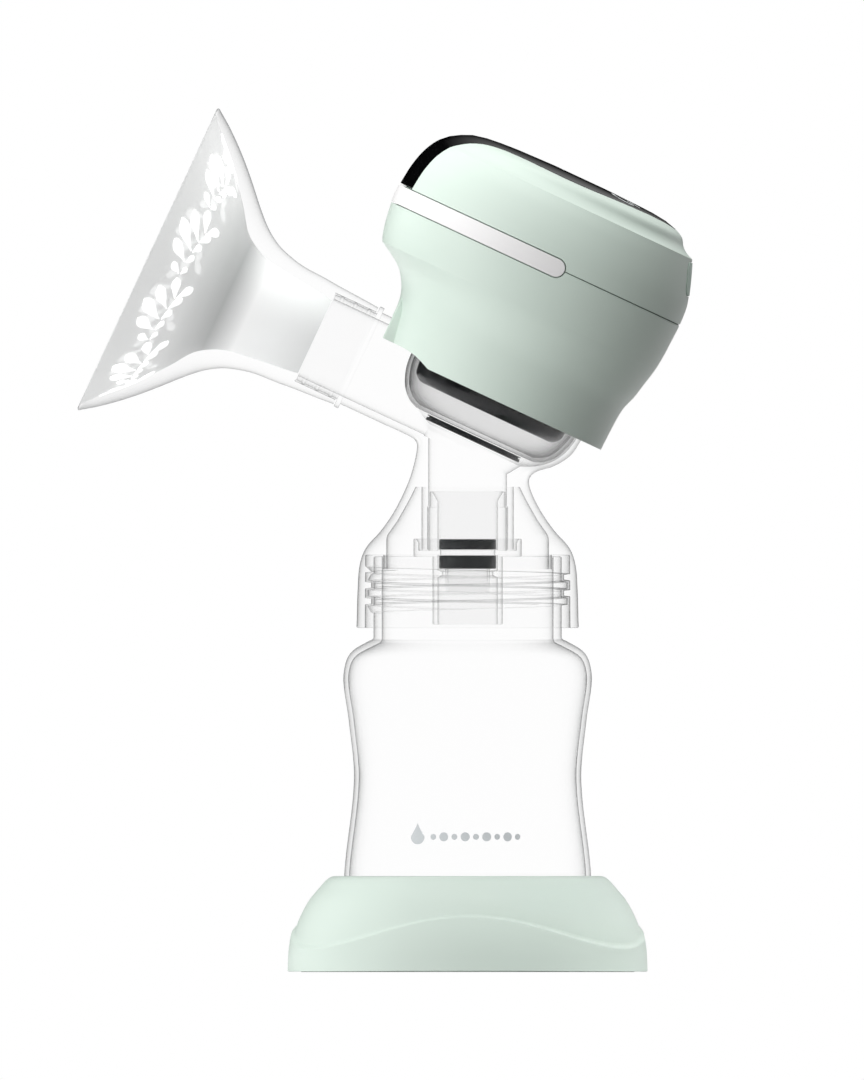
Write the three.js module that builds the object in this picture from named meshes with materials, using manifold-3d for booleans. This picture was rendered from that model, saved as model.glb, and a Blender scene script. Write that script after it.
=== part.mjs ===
// Electric breast pump: a stand, a bottle, a clear tee with a soft shield, a one-way valve,
// a diaphragm bowl, and a motor unit with its works. Millimetres, +Z up, +X towards the rear.
// The origin is the centre of the stand's underside.
import * as THREE from 'three';
import { mergeVertices } from 'three/addons/utils/BufferGeometryUtils.js';
import Module from 'manifold-3d';

const wasm = await Module();
wasm.setup();

// ---------------------------------------------------------------- driving dimensions

const GAP = 0.3;                // clearance between neighbouring pieces
const ROUND = 24;               // facets around a large turned piece
const SMALL = 10;               // facets around a small turned piece

// Stand
const STAND_RADIUS = 45.1;
const STAND_HEIGHT = 24;
const SOCKET_RADIUS = 31.4;
const SOCKET_FLOOR = 5;

// Bottle and its screw neck
const BOTTLE_RADIUS = 31.1;
const BOTTLE_WAIST = 28.4;
const BOTTLE_WALL = 1.2;
const BOTTLE_FLOOR = 5.4;
const NECK_RADIUS = 23.5;
const NECK_BORE = 21.45;
const NECK_TOP = 103.9;
const THREAD_PITCH = 4;
const BOTTLE_THREAD_CREST = 25;
const TEE_THREAD_CREST = 24.1;
const TEE_THREAD_ROOT = 25.6;

// Tee: bell over the neck, drop tube, arm and cup
const BELL_BOTTOM = 86;
const BELL_RADIUS = 27.8;
const BELL_CEILING = 121.3;
const DROP_TUBE_RADIUS = 11.5;
const DROP_TUBE_END = 105.6;
const CHANNEL_RADIUS = 9.8;
const SLEEVE_SEAT = 10.1;       // the wider part of the channel, round the valve's sleeve
const ARM_RADIUS = 12.55;
const ARM_BORE = 10.65;
const STOP_RING_RADIUS = 13.8;
const STOP_RING_START = 29.3;   // along the arm, from the crossing of the axes
const SPIGOT_START = 30.5;
const SPIGOT_END = 41.8;
const SPIGOT_RADIUS = 11.8;
const CUP_OFFSET = 4.5;         // the cup's axis behind the crossing
const CUP_RADIUS = 24.9;
const CUP_BORE = 23.4;
const CUP_TOP = 13;

// Tilted head: where its axes cross the bottle's axis, and its lean
const HEAD_HEIGHT = 141;
const HEAD_TILT = THREE.MathUtils.degToRad(25);

// Shield
const SHIELD_FACE = 88.4;
const SHIELD_RADIUS = 41.8;
const SHIELD_BORE = 10.1;
const SHIELD_SEAT = 12.65;

// Motor unit
const SKIRT_BOTTOM = 4.6;
const SKIRT_BORE = 28;
const SHELF_BOTTOM = 15;
const SHELF_TOP = 16.6;
const SEAM = 41.1;
const CROWN = 64.2;
const CASING_WALL = 2.2;
const BAND_HALF_HEIGHT = 2.65;
const BAND_END = 5.15;
const PANEL_THICKNESS = 1.4;
const PANEL_REACH = 28.6;       // rear end of the touch panel
const PANEL_HALF_WIDTH = 24.5;
const PANEL_FRONT_HALF_WIDTH = 14.2;
const PORT_HEIGHT = 52.6;
const PLUG_RADIUS = 20.9;
const PUMP_AXIS_SIDE = -10;     // across the unit
const PUMP_AXIS_HEIGHT = 30;
const MOTOR_RADIUS = 9.7;
const PLUNGER_PLACE = -28;      // along the unit
const VALVE_STUB = [-23.8, 3.8];
const BOARD_HEIGHT = 48.8;
const BEYOND = 60;              // a reach past the unit's skin, for the shapes that cut it

// Outer sections of the motor unit: [height, front, rear, half-width, roundness]
const LOWER_SECTIONS = [
  [SKIRT_BOTTOM, -25.6, 34.6, 30.1, 2],
  [13, -26.8, 34.8, 30.6, 2],
  [18, -26.8, 35.9, 31, 2],
  [25.5, -31.6, 37.9, 33.2, 2.1],
  [28.3, -36, 38.4, 34.4, 2.15],
  [32, -38, 38.9, 35.3, 2.15],
  [SEAM - 0.1, -39.1, 39.3, 36.2, 2.15],
];
const UPPER_SECTIONS = [
  [SEAM + 0.1, -39.1, 39.3, 36.2, 2.15],
  [48, -38.6, 38.5, 35.7, 2.15],
  [54, -37, 36.6, 34, 2.15],
  [57.4, -35.1, 35.3, 32.2, 2.15],
  [58.5, -33.9, 33, 30.7, 2.15],
  [61.6, -29.4, 29.8, 27.1, 2.1],
  [63.2, -23, 25, 20.6, 2.1],
  [CROWN, -10, 12, 9, 2],
];

// ---------------------------------------------------------------- solid helpers

// Welds a closed geometry and hands it over as a solid that can be cut and joined.
function solid(geometry) {
  const bare = geometry.clone();
  bare.deleteAttribute('normal');
  bare.deleteAttribute('uv');
  const welded = mergeVertices(bare, 1e-4);
  const index = welded.index.array;
  const triangles = [];
  for (let i = 0; i < index.length; i += 3) {
    const [a, b, c] = [index[i], index[i + 1], index[i + 2]];
    if (a !== b && b !== c && a !== c) triangles.push(a, b, c);
  }
  return new wasm.Manifold(new wasm.Mesh({
    numProp: 3,
    vertProperties: new Float32Array(welded.attributes.position.array),
    triVerts: new Uint32Array(triangles),
  }));
}

// The solid's surface as a three.js geometry.
function surface(body) {
  const mesh = body.getMesh();
  const geometry = new THREE.BufferGeometry();
  geometry.setAttribute('position', new THREE.BufferAttribute(new Float32Array(mesh.vertProperties), 3));
  geometry.setIndex(new THREE.BufferAttribute(new Uint32Array(mesh.triVerts), 1));
  geometry.computeVertexNormals();
  return geometry;
}

// Turns an outline of [radius, height] points about Z. It runs up on its outer side, and starts
// and ends on the axis, or is closed on itself when ring is true.
function turned(outline, { ring = false, facets = ROUND } = {}) {
  const closed = ring ? [...outline, outline[0]] : outline;
  const points = closed.map(([radius, height]) => new THREE.Vector2(radius, height));
  return new THREE.LatheGeometry(points, facets).rotateX(Math.PI / 2);
}

// Points along a smooth curve through the given points.
function smooth(points, steps) {
  return new THREE.SplineCurve(points.map(([x, y]) => new THREE.Vector2(x, y)))
    .getPoints(steps).map((point) => [point.x, point.y]);
}

// A cylinder along Z from one height to another, or a tube when it has a bore.
function cylinder(radius, from, to, { facets = SMALL, bore = 0 } = {}) {
  const wall = [[bore, from], [radius, from], [radius, to], [bore, to]];
  if (bore > 0) return turned(wall, { ring: true, facets });
  return turned([[0, from], [radius, from], [radius, to], [0, to]], { facets });
}

// A box given by its low and high corners.
function box([x0, y0, z0], [x1, y1, z1]) {
  return new THREE.BoxGeometry(x1 - x0, y1 - y0, z1 - z0)
    .translate((x0 + x1) / 2, (y0 + y1) / 2, (z0 + z1) / 2);
}

// Skins a stack of rings, each a counter-clockwise list of [x, y, z], and closes both ends.
function lofted(rings) {
  const count = rings[0].length;
  const index = [];
  for (let level = 0; level + 1 < rings.length; level += 1) {
    for (let i = 0; i < count; i += 1) {
      const next = (i + 1) % count;
      const [a, b] = [level * count + i, level * count + next];
      index.push(a, b, b + count, a, b + count, a + count);
    }
  }
  const top = (rings.length - 1) * count;
  for (let i = 1; i + 1 < count; i += 1) {
    index.push(0, i + 1, i);
    index.push(top, top + i, top + i + 1);
  }
  const geometry = new THREE.BufferGeometry();
  geometry.setAttribute('position', new THREE.Float32BufferAttribute(rings.flat(2), 3));
  geometry.setIndex(index);
  return geometry;
}

// Extrudes a shape drawn in X and Z across the width, centred on Y.
function acrossWidth(shape, width, curveSegments = 6) {
  return new THREE.ExtrudeGeometry(shape, { depth: width, bevelEnabled: false, curveSegments })
    .rotateX(Math.PI / 2).translate(0, width / 2, 0);
}

// Extrudes a shape drawn in Y and Z along X, between two places.
function alongLength(shape, from, to, curveSegments = 8) {
  const axes = new THREE.Matrix4().makeBasis(
    new THREE.Vector3(0, 1, 0), new THREE.Vector3(0, 0, 1), new THREE.Vector3(1, 0, 0));
  return new THREE.ExtrudeGeometry(shape, { depth: to - from, bevelEnabled: false, curveSegments })
    .applyMatrix4(axes).translate(from, 0, 0);
}

// A polygon shape from [x, y] points.
function polygon(points) {
  return new THREE.Shape(points.map(([x, y]) => new THREE.Vector2(x, y)));
}

// A flexible tube through the given points.
function tube(points, radius, steps) {
  const path = new THREE.CatmullRomCurve3(points.map((point) => new THREE.Vector3(...point)));
  const section = new THREE.Shape().absarc(0, 0, radius, 0, Math.PI * 2);
  return new THREE.ExtrudeGeometry(section, {
    extrudePath: path, steps, curveSegments: 4, bevelEnabled: false,
  });
}

// A right-handed screw ridge about Z, fading out over its first and last quarter turn.
function ridge({
  root, crest, rootWidth, crestWidth, height, fromTurn, toTurn, pitch = THREAD_PITCH, perTurn = ROUND,
}) {
  const steps = Math.round((toTurn - fromTurn) * perTurn);
  const fade = perTurn / 4;
  const positions = [];
  for (let i = 0; i <= steps; i += 1) {
    const turn = fromTurn + (toTurn - fromTurn) * i / steps;
    const growth = Math.min(1, Math.min(i, steps - i) / fade);
    const tip = root + (crest - root) * (0.35 + 0.65 * growth);
    const corners = [
      [root, -rootWidth / 2], [tip, -crestWidth / 2], [tip, crestWidth / 2], [root, rootWidth / 2],
    ];
    if (crest < root) corners.reverse();
    for (const [radius, rise] of corners) {
      const angle = turn * Math.PI * 2;
      positions.push(radius * Math.cos(angle), radius * Math.sin(angle), height + turn * pitch + rise);
    }
  }
  const index = [0, 1, 2, 0, 2, 3];
  for (let i = 0; i < steps; i += 1) {
    for (let corner = 0; corner < 4; corner += 1) {
      const a = i * 4 + corner;
      const d = i * 4 + (corner + 1) % 4;
      index.push(a, a + 4, d, d + 4, d, a + 4);
    }
  }
  const end = steps * 4;
  index.push(end, end + 2, end + 1, end, end + 3, end + 2);
  const geometry = new THREE.BufferGeometry();
  geometry.setAttribute('position', new THREE.Float32BufferAttribute(positions, 3));
  geometry.setIndex(index);
  return geometry;
}

// ---------------------------------------------------------------- frames

// Head frame: X down and back, Z up and back, leaning by HEAD_TILT about Y.
const headFrame = new THREE.Matrix4().makeRotationY(HEAD_TILT).setPosition(0, 0, HEAD_HEIGHT);
// Cup frame: Z is the common axis of the cup, the bowl and the plug.
const cupFrame = headFrame.clone().multiply(new THREE.Matrix4().makeTranslation(CUP_OFFSET, 0, 0));
// Arm frame: Z runs out along the arm, towards the shield.
const armFrame = headFrame.clone().multiply(new THREE.Matrix4().makeRotationY(-Math.PI / 2));

// ---------------------------------------------------------------- stand

function standShell() {
  const skin = smooth([
    [STAND_RADIUS, 0.2], [44.4, 6.75], [41.5, 14.25], [36.5, 21.75], [33.9, STAND_HEIGHT],
  ], 8);
  const socketWall = SOCKET_RADIUS + 1.8;
  const lining = [[socketWall, 3], [socketWall, 21.6], [35.2, 20.6], [40.6, 12], [42.9, 0.2]];
  return turned([
    [0, 3], ...lining, ...skin,
    [32, STAND_HEIGHT], [SOCKET_RADIUS, STAND_HEIGHT - 0.6],
    [SOCKET_RADIUS, SOCKET_FLOOR], [0, SOCKET_FLOOR],
  ]);
}

function standPad() {
  return cylinder(42, 0, 2.6, { facets: ROUND });
}

// ---------------------------------------------------------------- bottle

function bottle() {
  const wall = BOTTLE_WALL;
  const belly = [[30.9, 9], [30.8, 24.9], [BOTTLE_WAIST, 47.9], [29.7, 62.9], [BOTTLE_RADIUS, 72.9]];
  const flank = smooth(belly, 8);
  const inside = smooth(belly.map(([radius, height]) => [radius - wall, height]).reverse(), 8);
  const blank = turned([
    [0, BOTTLE_FLOOR + 0.8], [26, BOTTLE_FLOOR], [29, BOTTLE_FLOOR], ...flank,
    [30.3, 77.9], [28.6, 80.4], [24.4, 82.9], [NECK_RADIUS, 84.4],
    [NECK_RADIUS, NECK_TOP - 0.5], [NECK_RADIUS - 0.5, NECK_TOP], [NECK_BORE + 0.5, NECK_TOP],
    [NECK_BORE, NECK_TOP - 0.5], [NECK_BORE, 83.8], [22.4, 82.7], [26.8, 80.4], [29, 77.9],
    ...inside, [28, BOTTLE_FLOOR + 1.8], [0, BOTTLE_FLOOR + 2.4],
  ]);
  const thread = ridge({
    root: NECK_RADIUS - 0.4, crest: BOTTLE_THREAD_CREST, rootWidth: 2.4, crestWidth: 1.2,
    height: 88.7, fromTurn: 0.25, toTurn: 2.75,
  });
  return surface(solid(blank).add(solid(thread)));
}

// ---------------------------------------------------------------- tee

function teeBody() {
  const bell = smooth([
    [BELL_RADIUS - 0.5, 92], [27, 101.6], [25.5, 105.9], [21.6, 110.4],
    [18.2, 115.4], [14.6, 123], [12.2, 132.6],
  ], 9);
  const outside = [
    turned([[0, BELL_BOTTOM], [BELL_RADIUS, BELL_BOTTOM], ...bell, [12, 136], [0, 138]]),
    turned(armOutline()).applyMatrix4(armFrame),
    turned([
      [0, -10.5], [13, -9.6], [17.7, -7.3], [21.5, -3.7], [23.9, 0.2],
      [24.6, 4.5], [CUP_RADIUS, 8], [CUP_RADIUS, CUP_TOP], [0, CUP_TOP],
    ]).applyMatrix4(cupFrame),
  ].map(solid);
  const inside = [
    turned([
      [0, BELL_BOTTOM - 1], [TEE_THREAD_ROOT + 0.1, BELL_BOTTOM - 1], [TEE_THREAD_ROOT, NECK_TOP + 0.4],
      [21.05, NECK_TOP + 0.4], [21.05, 100.7], [20.3, 100.7], [20.3, 108.9], [17.5, 112.9],
      [14.7, 117.9], [13.2, BELL_CEILING], [DROP_TUBE_RADIUS, BELL_CEILING],
      [DROP_TUBE_RADIUS, DROP_TUBE_END], [0, DROP_TUBE_END],
    ]),
    turned([
      [0, 104], [SLEEVE_SEAT, 104], [SLEEVE_SEAT, 116.4],
      [CHANNEL_RADIUS, 116.4], [CHANNEL_RADIUS, 133.6], [0, 133.6],
    ]),
    cylinder(ARM_BORE, -5, SPIGOT_END + 1, { facets: ROUND }).applyMatrix4(armFrame),
    turned([
      [0, -10.9], [11.4, -10.9], [13.6, -7.7], [17, -6.1], [20.2, -3.4], [22.4, 0.2],
      [CUP_BORE, 4], [CUP_BORE, CUP_TOP + 6], [0, CUP_TOP + 6],
    ]).applyMatrix4(cupFrame),
  ].map(solid);
  const thread = solid(ridge({
    root: TEE_THREAD_ROOT + 0.4, crest: TEE_THREAD_CREST, rootWidth: 1.9, crestWidth: 0.9,
    height: 90.7, fromTurn: 0.125, toTurn: 2.625,
  }));
  return surface(wasm.Manifold.union(outside).subtract(wasm.Manifold.union(inside)).add(thread));
}

// The arm's outline, from the cup out to the end of the spigot, with its stop ring and seal ribs.
function armOutline() {
  const ribs = [];
  for (const start of [31.9, 35.6, 39.3]) {
    ribs.push([SPIGOT_RADIUS, start], [SPIGOT_RADIUS + 0.5, start + 0.6], [SPIGOT_RADIUS, start + 1.2]);
  }
  return [
    [0, 0], [ARM_RADIUS, 0], [ARM_RADIUS, STOP_RING_START], [STOP_RING_RADIUS, STOP_RING_START],
    [STOP_RING_RADIUS, SPIGOT_START], [SPIGOT_RADIUS, SPIGOT_START], ...ribs,
    [SPIGOT_RADIUS - 0.3, SPIGOT_END], [0, SPIGOT_END],
  ];
}

// ---------------------------------------------------------------- shield, bowl and valve

// Soft shield: a flare that narrows to a tunnel, and a seat that pushes over the spigot.
function breastShield() {
  const seatEnd = SPIGOT_START + GAP;
  const back = smooth([
    [13.3, seatEnd], [14, 40], [14.5, 50], [16.2, 58],
    [19.6, 64], [27.7, 72], [35.5, 80], [41.1, 87.4],
  ], 12);
  const front = smooth([
    [39.3, 87.6], [31.3, 80], [21.9, 72], [13.7, 64],
    [11.95, 58], [11, 50], [SHIELD_BORE, SPIGOT_END + GAP],
  ], 11);
  return turned([
    ...back, [SHIELD_RADIUS, SHIELD_FACE - 0.4], [SHIELD_RADIUS - 0.6, SHIELD_FACE], [40.1, SHIELD_FACE],
    ...front, [SHIELD_SEAT, SPIGOT_END + GAP], [SHIELD_SEAT, seatEnd],
  ], { ring: true });
}

// Diaphragm bowl: a soft cup whose rim lies on the tee's cup, and whose floor moves.
function diaphragmBowl() {
  const rim = CUP_TOP + GAP;
  return turned([
    [0, -5.4], [15.9, -5.4], [18.6, -4.2], [21, -1.6], [22.5, 2], [23, 5], [23, rim],
    [CUP_RADIUS + 0.2, rim], [CUP_RADIUS + 0.2, rim + 1.4], [22, rim + 1.4],
    [22, 5.2], [21.5, 2.4], [20.1, -1], [18, -3.3], [15.6, -4.4], [0, -4.4],
  ]);
}

function diaphragmPlate() {
  return cylinder(12.8, -6.6, -5.7, { facets: ROUND });
}

// Valve body: a sleeve that plugs into the drop tube, a drip dish and a guard tube.
function valveBody() {
  return turned([
    [7.5, 86.9], [8.75, 86.9], [8.75, 103.85], [13.3, 103.85], [13.5, 104.1], [13.5, 108.3],
    [13, 108.3], [12.3, 107.2], [12.3, 105.3], [9.75, 105.3], [9.75, 116], [9.45, 116.3],
    [9.45, 120.1], [8.9, 120.1], [7.5, 117.7], [7.5, 100.4], [6.4, 100], [6.4, 99.2], [7.5, 98.6],
  ], { ring: true, facets: 20 });
}

// Valve core: a dark collar with a duckbill below it, closed to a slit across Y.
function valveCore() {
  const lip = (height, long, wide) => Array.from({ length: 20 }, (_, i) => {
    const angle = i * Math.PI / 10;
    return [long * Math.cos(angle), wide * Math.sin(angle), height];
  });
  const collar = solid(cylinder(7.1, 100.7, 108.2, { facets: 20 }));
  const bill = solid(lofted([lip(95, 5.4, 0.7), lip(100.8, 5.6, 5.6)]));
  const bore = solid(lofted([lip(95.6, 4.5, 0.15), lip(101, 4.6, 4.6), lip(109, 5.2, 5.2)]));
  return surface(collar.add(bill).subtract(bore));
}

// ---------------------------------------------------------------- motor unit, casings

// One ring of the motor unit's skin, set inwards by inset.
function sectionRing([height, front, rear, halfWidth, roundness], inset, drop) {
  const middle = (front + rear) / 2;
  const halfLength = (rear - front) / 2 - inset;
  const bend = (value) => Math.sign(value) * Math.abs(value) ** (2 / roundness);
  return Array.from({ length: ROUND }, (_, i) => {
    const angle = i * 2 * Math.PI / ROUND;
    const [along, across] = [bend(Math.cos(angle)), bend(Math.sin(angle))];
    return [middle + halfLength * along, (halfWidth - inset) * across, height - drop];
  });
}

// The motor unit's lower body, set inwards by inset, down to a floor.
function lowerBody(inset, floor = SKIRT_BOTTOM) {
  const sections = LOWER_SECTIONS.filter(([height]) => height > floor + 0.5);
  const first = LOWER_SECTIONS.findLast(([height]) => height <= floor + 0.5);
  const top = LOWER_SECTIONS.at(-1);
  const rings = [[floor, ...first.slice(1)], ...sections].map((section) => sectionRing(section, inset, 0));
  if (inset > 0) rings.push(sectionRing([top[0] + 1, ...top.slice(1)], inset, 0));
  return solid(lofted(rings));
}

// The motor unit's upper body, set inwards by inset, with its crown lowered by as much.
function upperBody(inset) {
  const rings = UPPER_SECTIONS.map((section) => {
    const crownward = THREE.MathUtils.smoothstep(section[0], 54, 61);
    return sectionRing(section, inset * (1 - 0.6 * crownward), inset * crownward);
  });
  if (inset > 0) rings.unshift(sectionRing([SEAM - 1, ...UPPER_SECTIONS[0].slice(1)], inset, 0));
  return solid(lofted(rings));
}

// The trim band's outline from the side: it wraps the front and ends in a half round.
function bandPrism(margin) {
  const half = BAND_HALF_HEIGHT + margin;
  const shape = new THREE.Shape();
  shape.moveTo(-BEYOND, SEAM - half);
  shape.lineTo(BAND_END, SEAM - half);
  shape.absarc(BAND_END, SEAM, half, -Math.PI / 2, Math.PI / 2);
  shape.lineTo(-BEYOND, SEAM + half);
  return solid(acrossWidth(shape, 100));
}

// The touch panel's outline from above: a strip up the front that widens into an oval on top.
function panelPrism(margin) {
  const side = smooth([
    [-33, PANEL_FRONT_HALF_WIDTH], [-27, 16.2], [-20, 19.8], [-11, 23.2], [0, PANEL_HALF_WIDTH],
    [11, 22.6], [20, 17.4], [26.2, 9.8], [PANEL_REACH, 0],
  ], 14).map(([x, y]) => [x + (x > 20 ? margin : 0), y > 0 ? y + margin : 0]);
  const right = [[-BEYOND, PANEL_FRONT_HALF_WIDTH + margin], ...side];
  const left = right.slice(0, -1).map(([x, y]) => [x, -y]);
  const shape = polygon([...left, ...right.reverse()]);
  return solid(new THREE.ExtrudeGeometry(shape, { depth: 40, bevelEnabled: false })
    .translate(0, 0, SEAM + BAND_HALF_HEIGHT + GAP - margin));
}

// Bosses on the lower casing that the chassis screws into.
const CHASSIS_SCREWS = [[26.5, 20], [-26, 20], [-26, -20], [26.5, -20]];
// Screws under the touch panel, through the upper casing into the chassis posts.
const COVER_SCREWS = [[17, 14.5], [-17, 14.5], [-17, -14.5], [17, -14.5]];
// Screws that hold the plug's flange on the shelf, as angles around the cup's axis.
const PLATE_SCREWS = [30, 150, 270].map((degrees) => {
  const angle = THREE.MathUtils.degToRad(degrees);
  return [CUP_OFFSET + 24.8 * Math.cos(angle), 24.8 * Math.sin(angle)];
});

function lowerCasing() {
  const hollow = lowerBody(CASING_WALL, SHELF_TOP);
  const bosses = CHASSIS_SCREWS.map(([x, y]) => solid(cylinder(3, 30, 42).translate(x, y, 0)));
  const bossHoles = CHASSIS_SCREWS.map(([x, y]) => solid(cylinder(1.2, 33, 43).translate(x, y, 0)));
  const plateHoles = PLATE_SCREWS.map(([x, y]) => solid(cylinder(1.25, 14, 18).translate(x, y, 0)));
  const roundHole = (radius, from, to) => (
    solid(cylinder(radius, from, to, { facets: ROUND }).translate(CUP_OFFSET, 0, 0)));
  const skirtBore = roundHole(SKIRT_BORE, 0, SHELF_BOTTOM);
  const plugHole = roundHole(PLUG_RADIUS + 0.4, 14, 18);
  const frontCut = solid(acrossWidth(polygon([
    [-40, 0], [-12, 0], [-12.5, 4.3], [-14.5, 5.1], [-17.5, 6.4], [-20.5, 6.8], [-40, 6.8],
  ]), 90));
  const archShape = new THREE.Shape();
  archShape.moveTo(-12.6, 6.8);
  archShape.absarc(0, 6.8, 12.6, Math.PI, 0, true);
  const hood = solid(alongLength(archShape, -26.9, -18));
  const armWay = solid(cylinder(ARM_RADIUS + 0.6, 15, 45, { facets: ROUND }).rotateY(-Math.PI / 2));
  const bossed = wasm.Manifold.union(bosses).intersect(lowerBody(0.5));
  return surface(lowerBody(0).add(hood)
    .subtract(hollow)
    .add(bossed)
    .subtract(wasm.Manifold.union([skirtBore, plugHole, frontCut, armWay, ...bossHoles, ...plateHoles]))
    .subtract(bandRecess()));
}

// The unit's body around the seam in one piece, set inwards by inset.
function waist(inset) {
  const atSeam = [SEAM, ...LOWER_SECTIONS.at(-1).slice(1)];
  const sections = [...LOWER_SECTIONS.slice(-3, -1), atSeam, ...UPPER_SECTIONS.slice(1, 3)];
  return solid(lofted(sections.map((section) => sectionRing(section, inset, 0))));
}

// The groove that the trim band lies in.
function bandRecess() {
  return bandPrism(0).subtract(waist(1.3));
}

function upperCasing() {
  const recessDepth = PANEL_THICKNESS + GAP;
  const floorInset = recessDepth + 1.6;
  const shell = upperBody(0).subtract(upperBody(CASING_WALL));
  const floor = upperBody(0).intersect(panelPrism(1.5)).subtract(upperBody(floorInset));
  const recess = panelPrism(GAP).subtract(upperBody(recessDepth));
  const window = solid(box([-12.4, -6.9, 55], [12.4, 6.9, 70]));
  const screwHoles = COVER_SCREWS.map(([x, y]) => solid(cylinder(1.3, 50, 70).translate(x, y, 0)));
  const headPockets = COVER_SCREWS.map(([x, y]) => solid(cylinder(2.5, 59.7, 70).translate(x, y, 0)));
  const portRecess = solid(box([30, -8.3, PORT_HEIGHT - 4.2], [45, 8.3, PORT_HEIGHT + 4.2]))
    .subtract(upperBody(1.25));
  const port = solid(box([28, -5.6, PORT_HEIGHT - 2.7], [45, 5.6, PORT_HEIGHT + 2.7]));
  const holes = [recess, window, portRecess, port, ...screwHoles, ...headPockets];
  return surface(shell.add(floor)
    .subtract(wasm.Manifold.union(holes))
    .subtract(bandRecess()));
}

function trimBand() {
  return surface(bandPrism(-0.25).intersect(waist(-0.15)).subtract(waist(1)));
}

function touchPanel() {
  return surface(panelPrism(0).intersect(upperBody(0)).subtract(upperBody(PANEL_THICKNESS)));
}

// Charging-port cover: a soft flap with a bung, hinged along its lower edge.
function portCover() {
  const outline = solid(box([30, -8, PORT_HEIGHT - 3.9], [45, 8, PORT_HEIGHT + 3.9]));
  const flap = outline.intersect(upperBody(0)).subtract(upperBody(0.95));
  const bung = solid(box([34.2, -4, PORT_HEIGHT - 1.3], [36.6, 4, PORT_HEIGHT + 1.2]));
  return surface(flap.add(bung));
}

// Plug that closes the unit underneath and reaches into the bowl, with two air stubs.
function nozzlePlate() {
  const plug = turned([
    [0, 0.9], [18.2, 0.9], [20, 2.6], [PLUG_RADIUS, 10], [PLUG_RADIUS, SHELF_TOP + GAP],
    [26.8, SHELF_TOP + GAP],
    [26.8, SHELF_TOP + 1.8], [18.6, SHELF_TOP + 1.8], [18.2, 3], [0, 3],
  ]);
  const stubs = [0, -10].map((x) => solid(cylinder(1.7, 2, 9.6).translate(x, 0, 0)));
  const bores = [0, -10].map((x) => solid(cylinder(0.9, 0, 11, { facets: 8 }).translate(x, 0, 0)));
  const holes = PLATE_SCREWS.map(([x, y]) => solid(cylinder(1.25, 14, 20).translate(x - CUP_OFFSET, y, 0)));
  return surface(wasm.Manifold.union([solid(plug), ...stubs])
    .subtract(wasm.Manifold.union([...bores, ...holes])));
}

// ---------------------------------------------------------------- motor unit, works

// Chassis: a plate under the boards with four posts for the cover screws.
function chassis() {
  const outline = new THREE.Shape().absellipse(0, 0, 32, 29, 0, Math.PI * 2);
  const slab = new THREE.ExtrudeGeometry(outline, { depth: 1.6, bevelEnabled: false, curveSegments: 24 });
  const plate = solid(slab.translate(0, 0, 42.4));
  const posts = COVER_SCREWS.map(([x, y]) => solid(cylinder(2.6, 43, 58.5).translate(x, y, 0)));
  const postHoles = COVER_SCREWS.map(([x, y]) => solid(cylinder(1.2, 50, 60).translate(x, y, 0)));
  const plateHoles = CHASSIS_SCREWS.map(([x, y]) => solid(cylinder(1.25, 42, 45).translate(x, y, 0)));
  const cableWay = solid(box([-4, 4, 42], [8, 12, 45]));
  return surface(wasm.Manifold.union([plate, ...posts])
    .subtract(wasm.Manifold.union([...postHoles, ...plateHoles, cableWay])));
}

// Pan-head screw: the head stands on its seat, the shank goes down.
function screw(seat, length) {
  return turned([
    [0, seat - length], [0.9, seat - length + 1.2], [0.9, seat],
    [2, seat], [1.6, seat + 1], [0, seat + 1],
  ], { facets: 8 });
}

function mainBoard() {
  const slab = solid(box([-21, -17.4, BOARD_HEIGHT], [30, 17.4, BOARD_HEIGHT + 1.6]));
  const holes = COVER_SCREWS.map(([x, y]) => solid(cylinder(3, 48, 52).translate(x, y, 0)));
  return surface(slab.subtract(wasm.Manifold.union(holes)));
}

// USB socket: a metal shell, open to the rear.
function usbSocket() {
  const low = PORT_HEIGHT - 1.6;
  const shell = solid(box([27, -4.5, low], [33.9, 4.5, low + 3.2]));
  const mouth = solid(box([28.6, -4.1, low + 0.4], [35, 4.1, low + 2.8]));
  const tongue = solid(box([28, -3.2, low + 1.3], [33, 3.2, low + 1.9]));
  return surface(shell.subtract(mouth).add(tongue));
}

function motorCan() {
  return turned([
    [0, -19], [MOTOR_RADIUS - 0.6, -19], [MOTOR_RADIUS, -18.4], [MOTOR_RADIUS, 2],
    [8.7, 2], [8.7, -17.6], [3.2, -17.6], [1.3, -17.6], [1.3, -18.2], [0, -18.2],
  ], { facets: 20 });
}

// Rotor: armature, shaft and the crank that drives the membrane.
function motorRotor() {
  const spindle = turned([
    [0, -17.2], [1, -17.2], [1, -14.5], [7, -14.5], [7, -1.5], [1, -1.5], [1, 8], [0, 8],
  ], { facets: 16 });
  const crank = cylinder(3.4, 4.6, 7.6).translate(1.6, 0, 0);
  return surface(solid(spindle).add(solid(crank)));
}

// Pump head: a square-backed housing around the crank, open towards the cap.
function pumpHead() {
  const shape = new THREE.Shape();
  const half = 9.6;
  const corner = 3;
  shape.moveTo(-half + corner, -half);
  const reach = half - corner;
  const centres = [[reach, -reach, -90], [reach, reach, 0], [-reach, reach, 90], [-reach, -reach, 180]];
  for (const [x, y, start] of centres) {
    const angle = THREE.MathUtils.degToRad(start);
    shape.absarc(x, y, corner, angle, angle + Math.PI / 2);
  }
  const block = new THREE.ExtrudeGeometry(shape, { depth: 14.7, bevelEnabled: false, curveSegments: 3 })
    .translate(0, 0, 2.3);
  const hollow = cylinder(8.6, 4, 18, { facets: 20 });
  const shaftWay = cylinder(1.4, 2, 5);
  return surface(solid(block).subtract(solid(hollow)).subtract(solid(shaftWay)));
}

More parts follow.
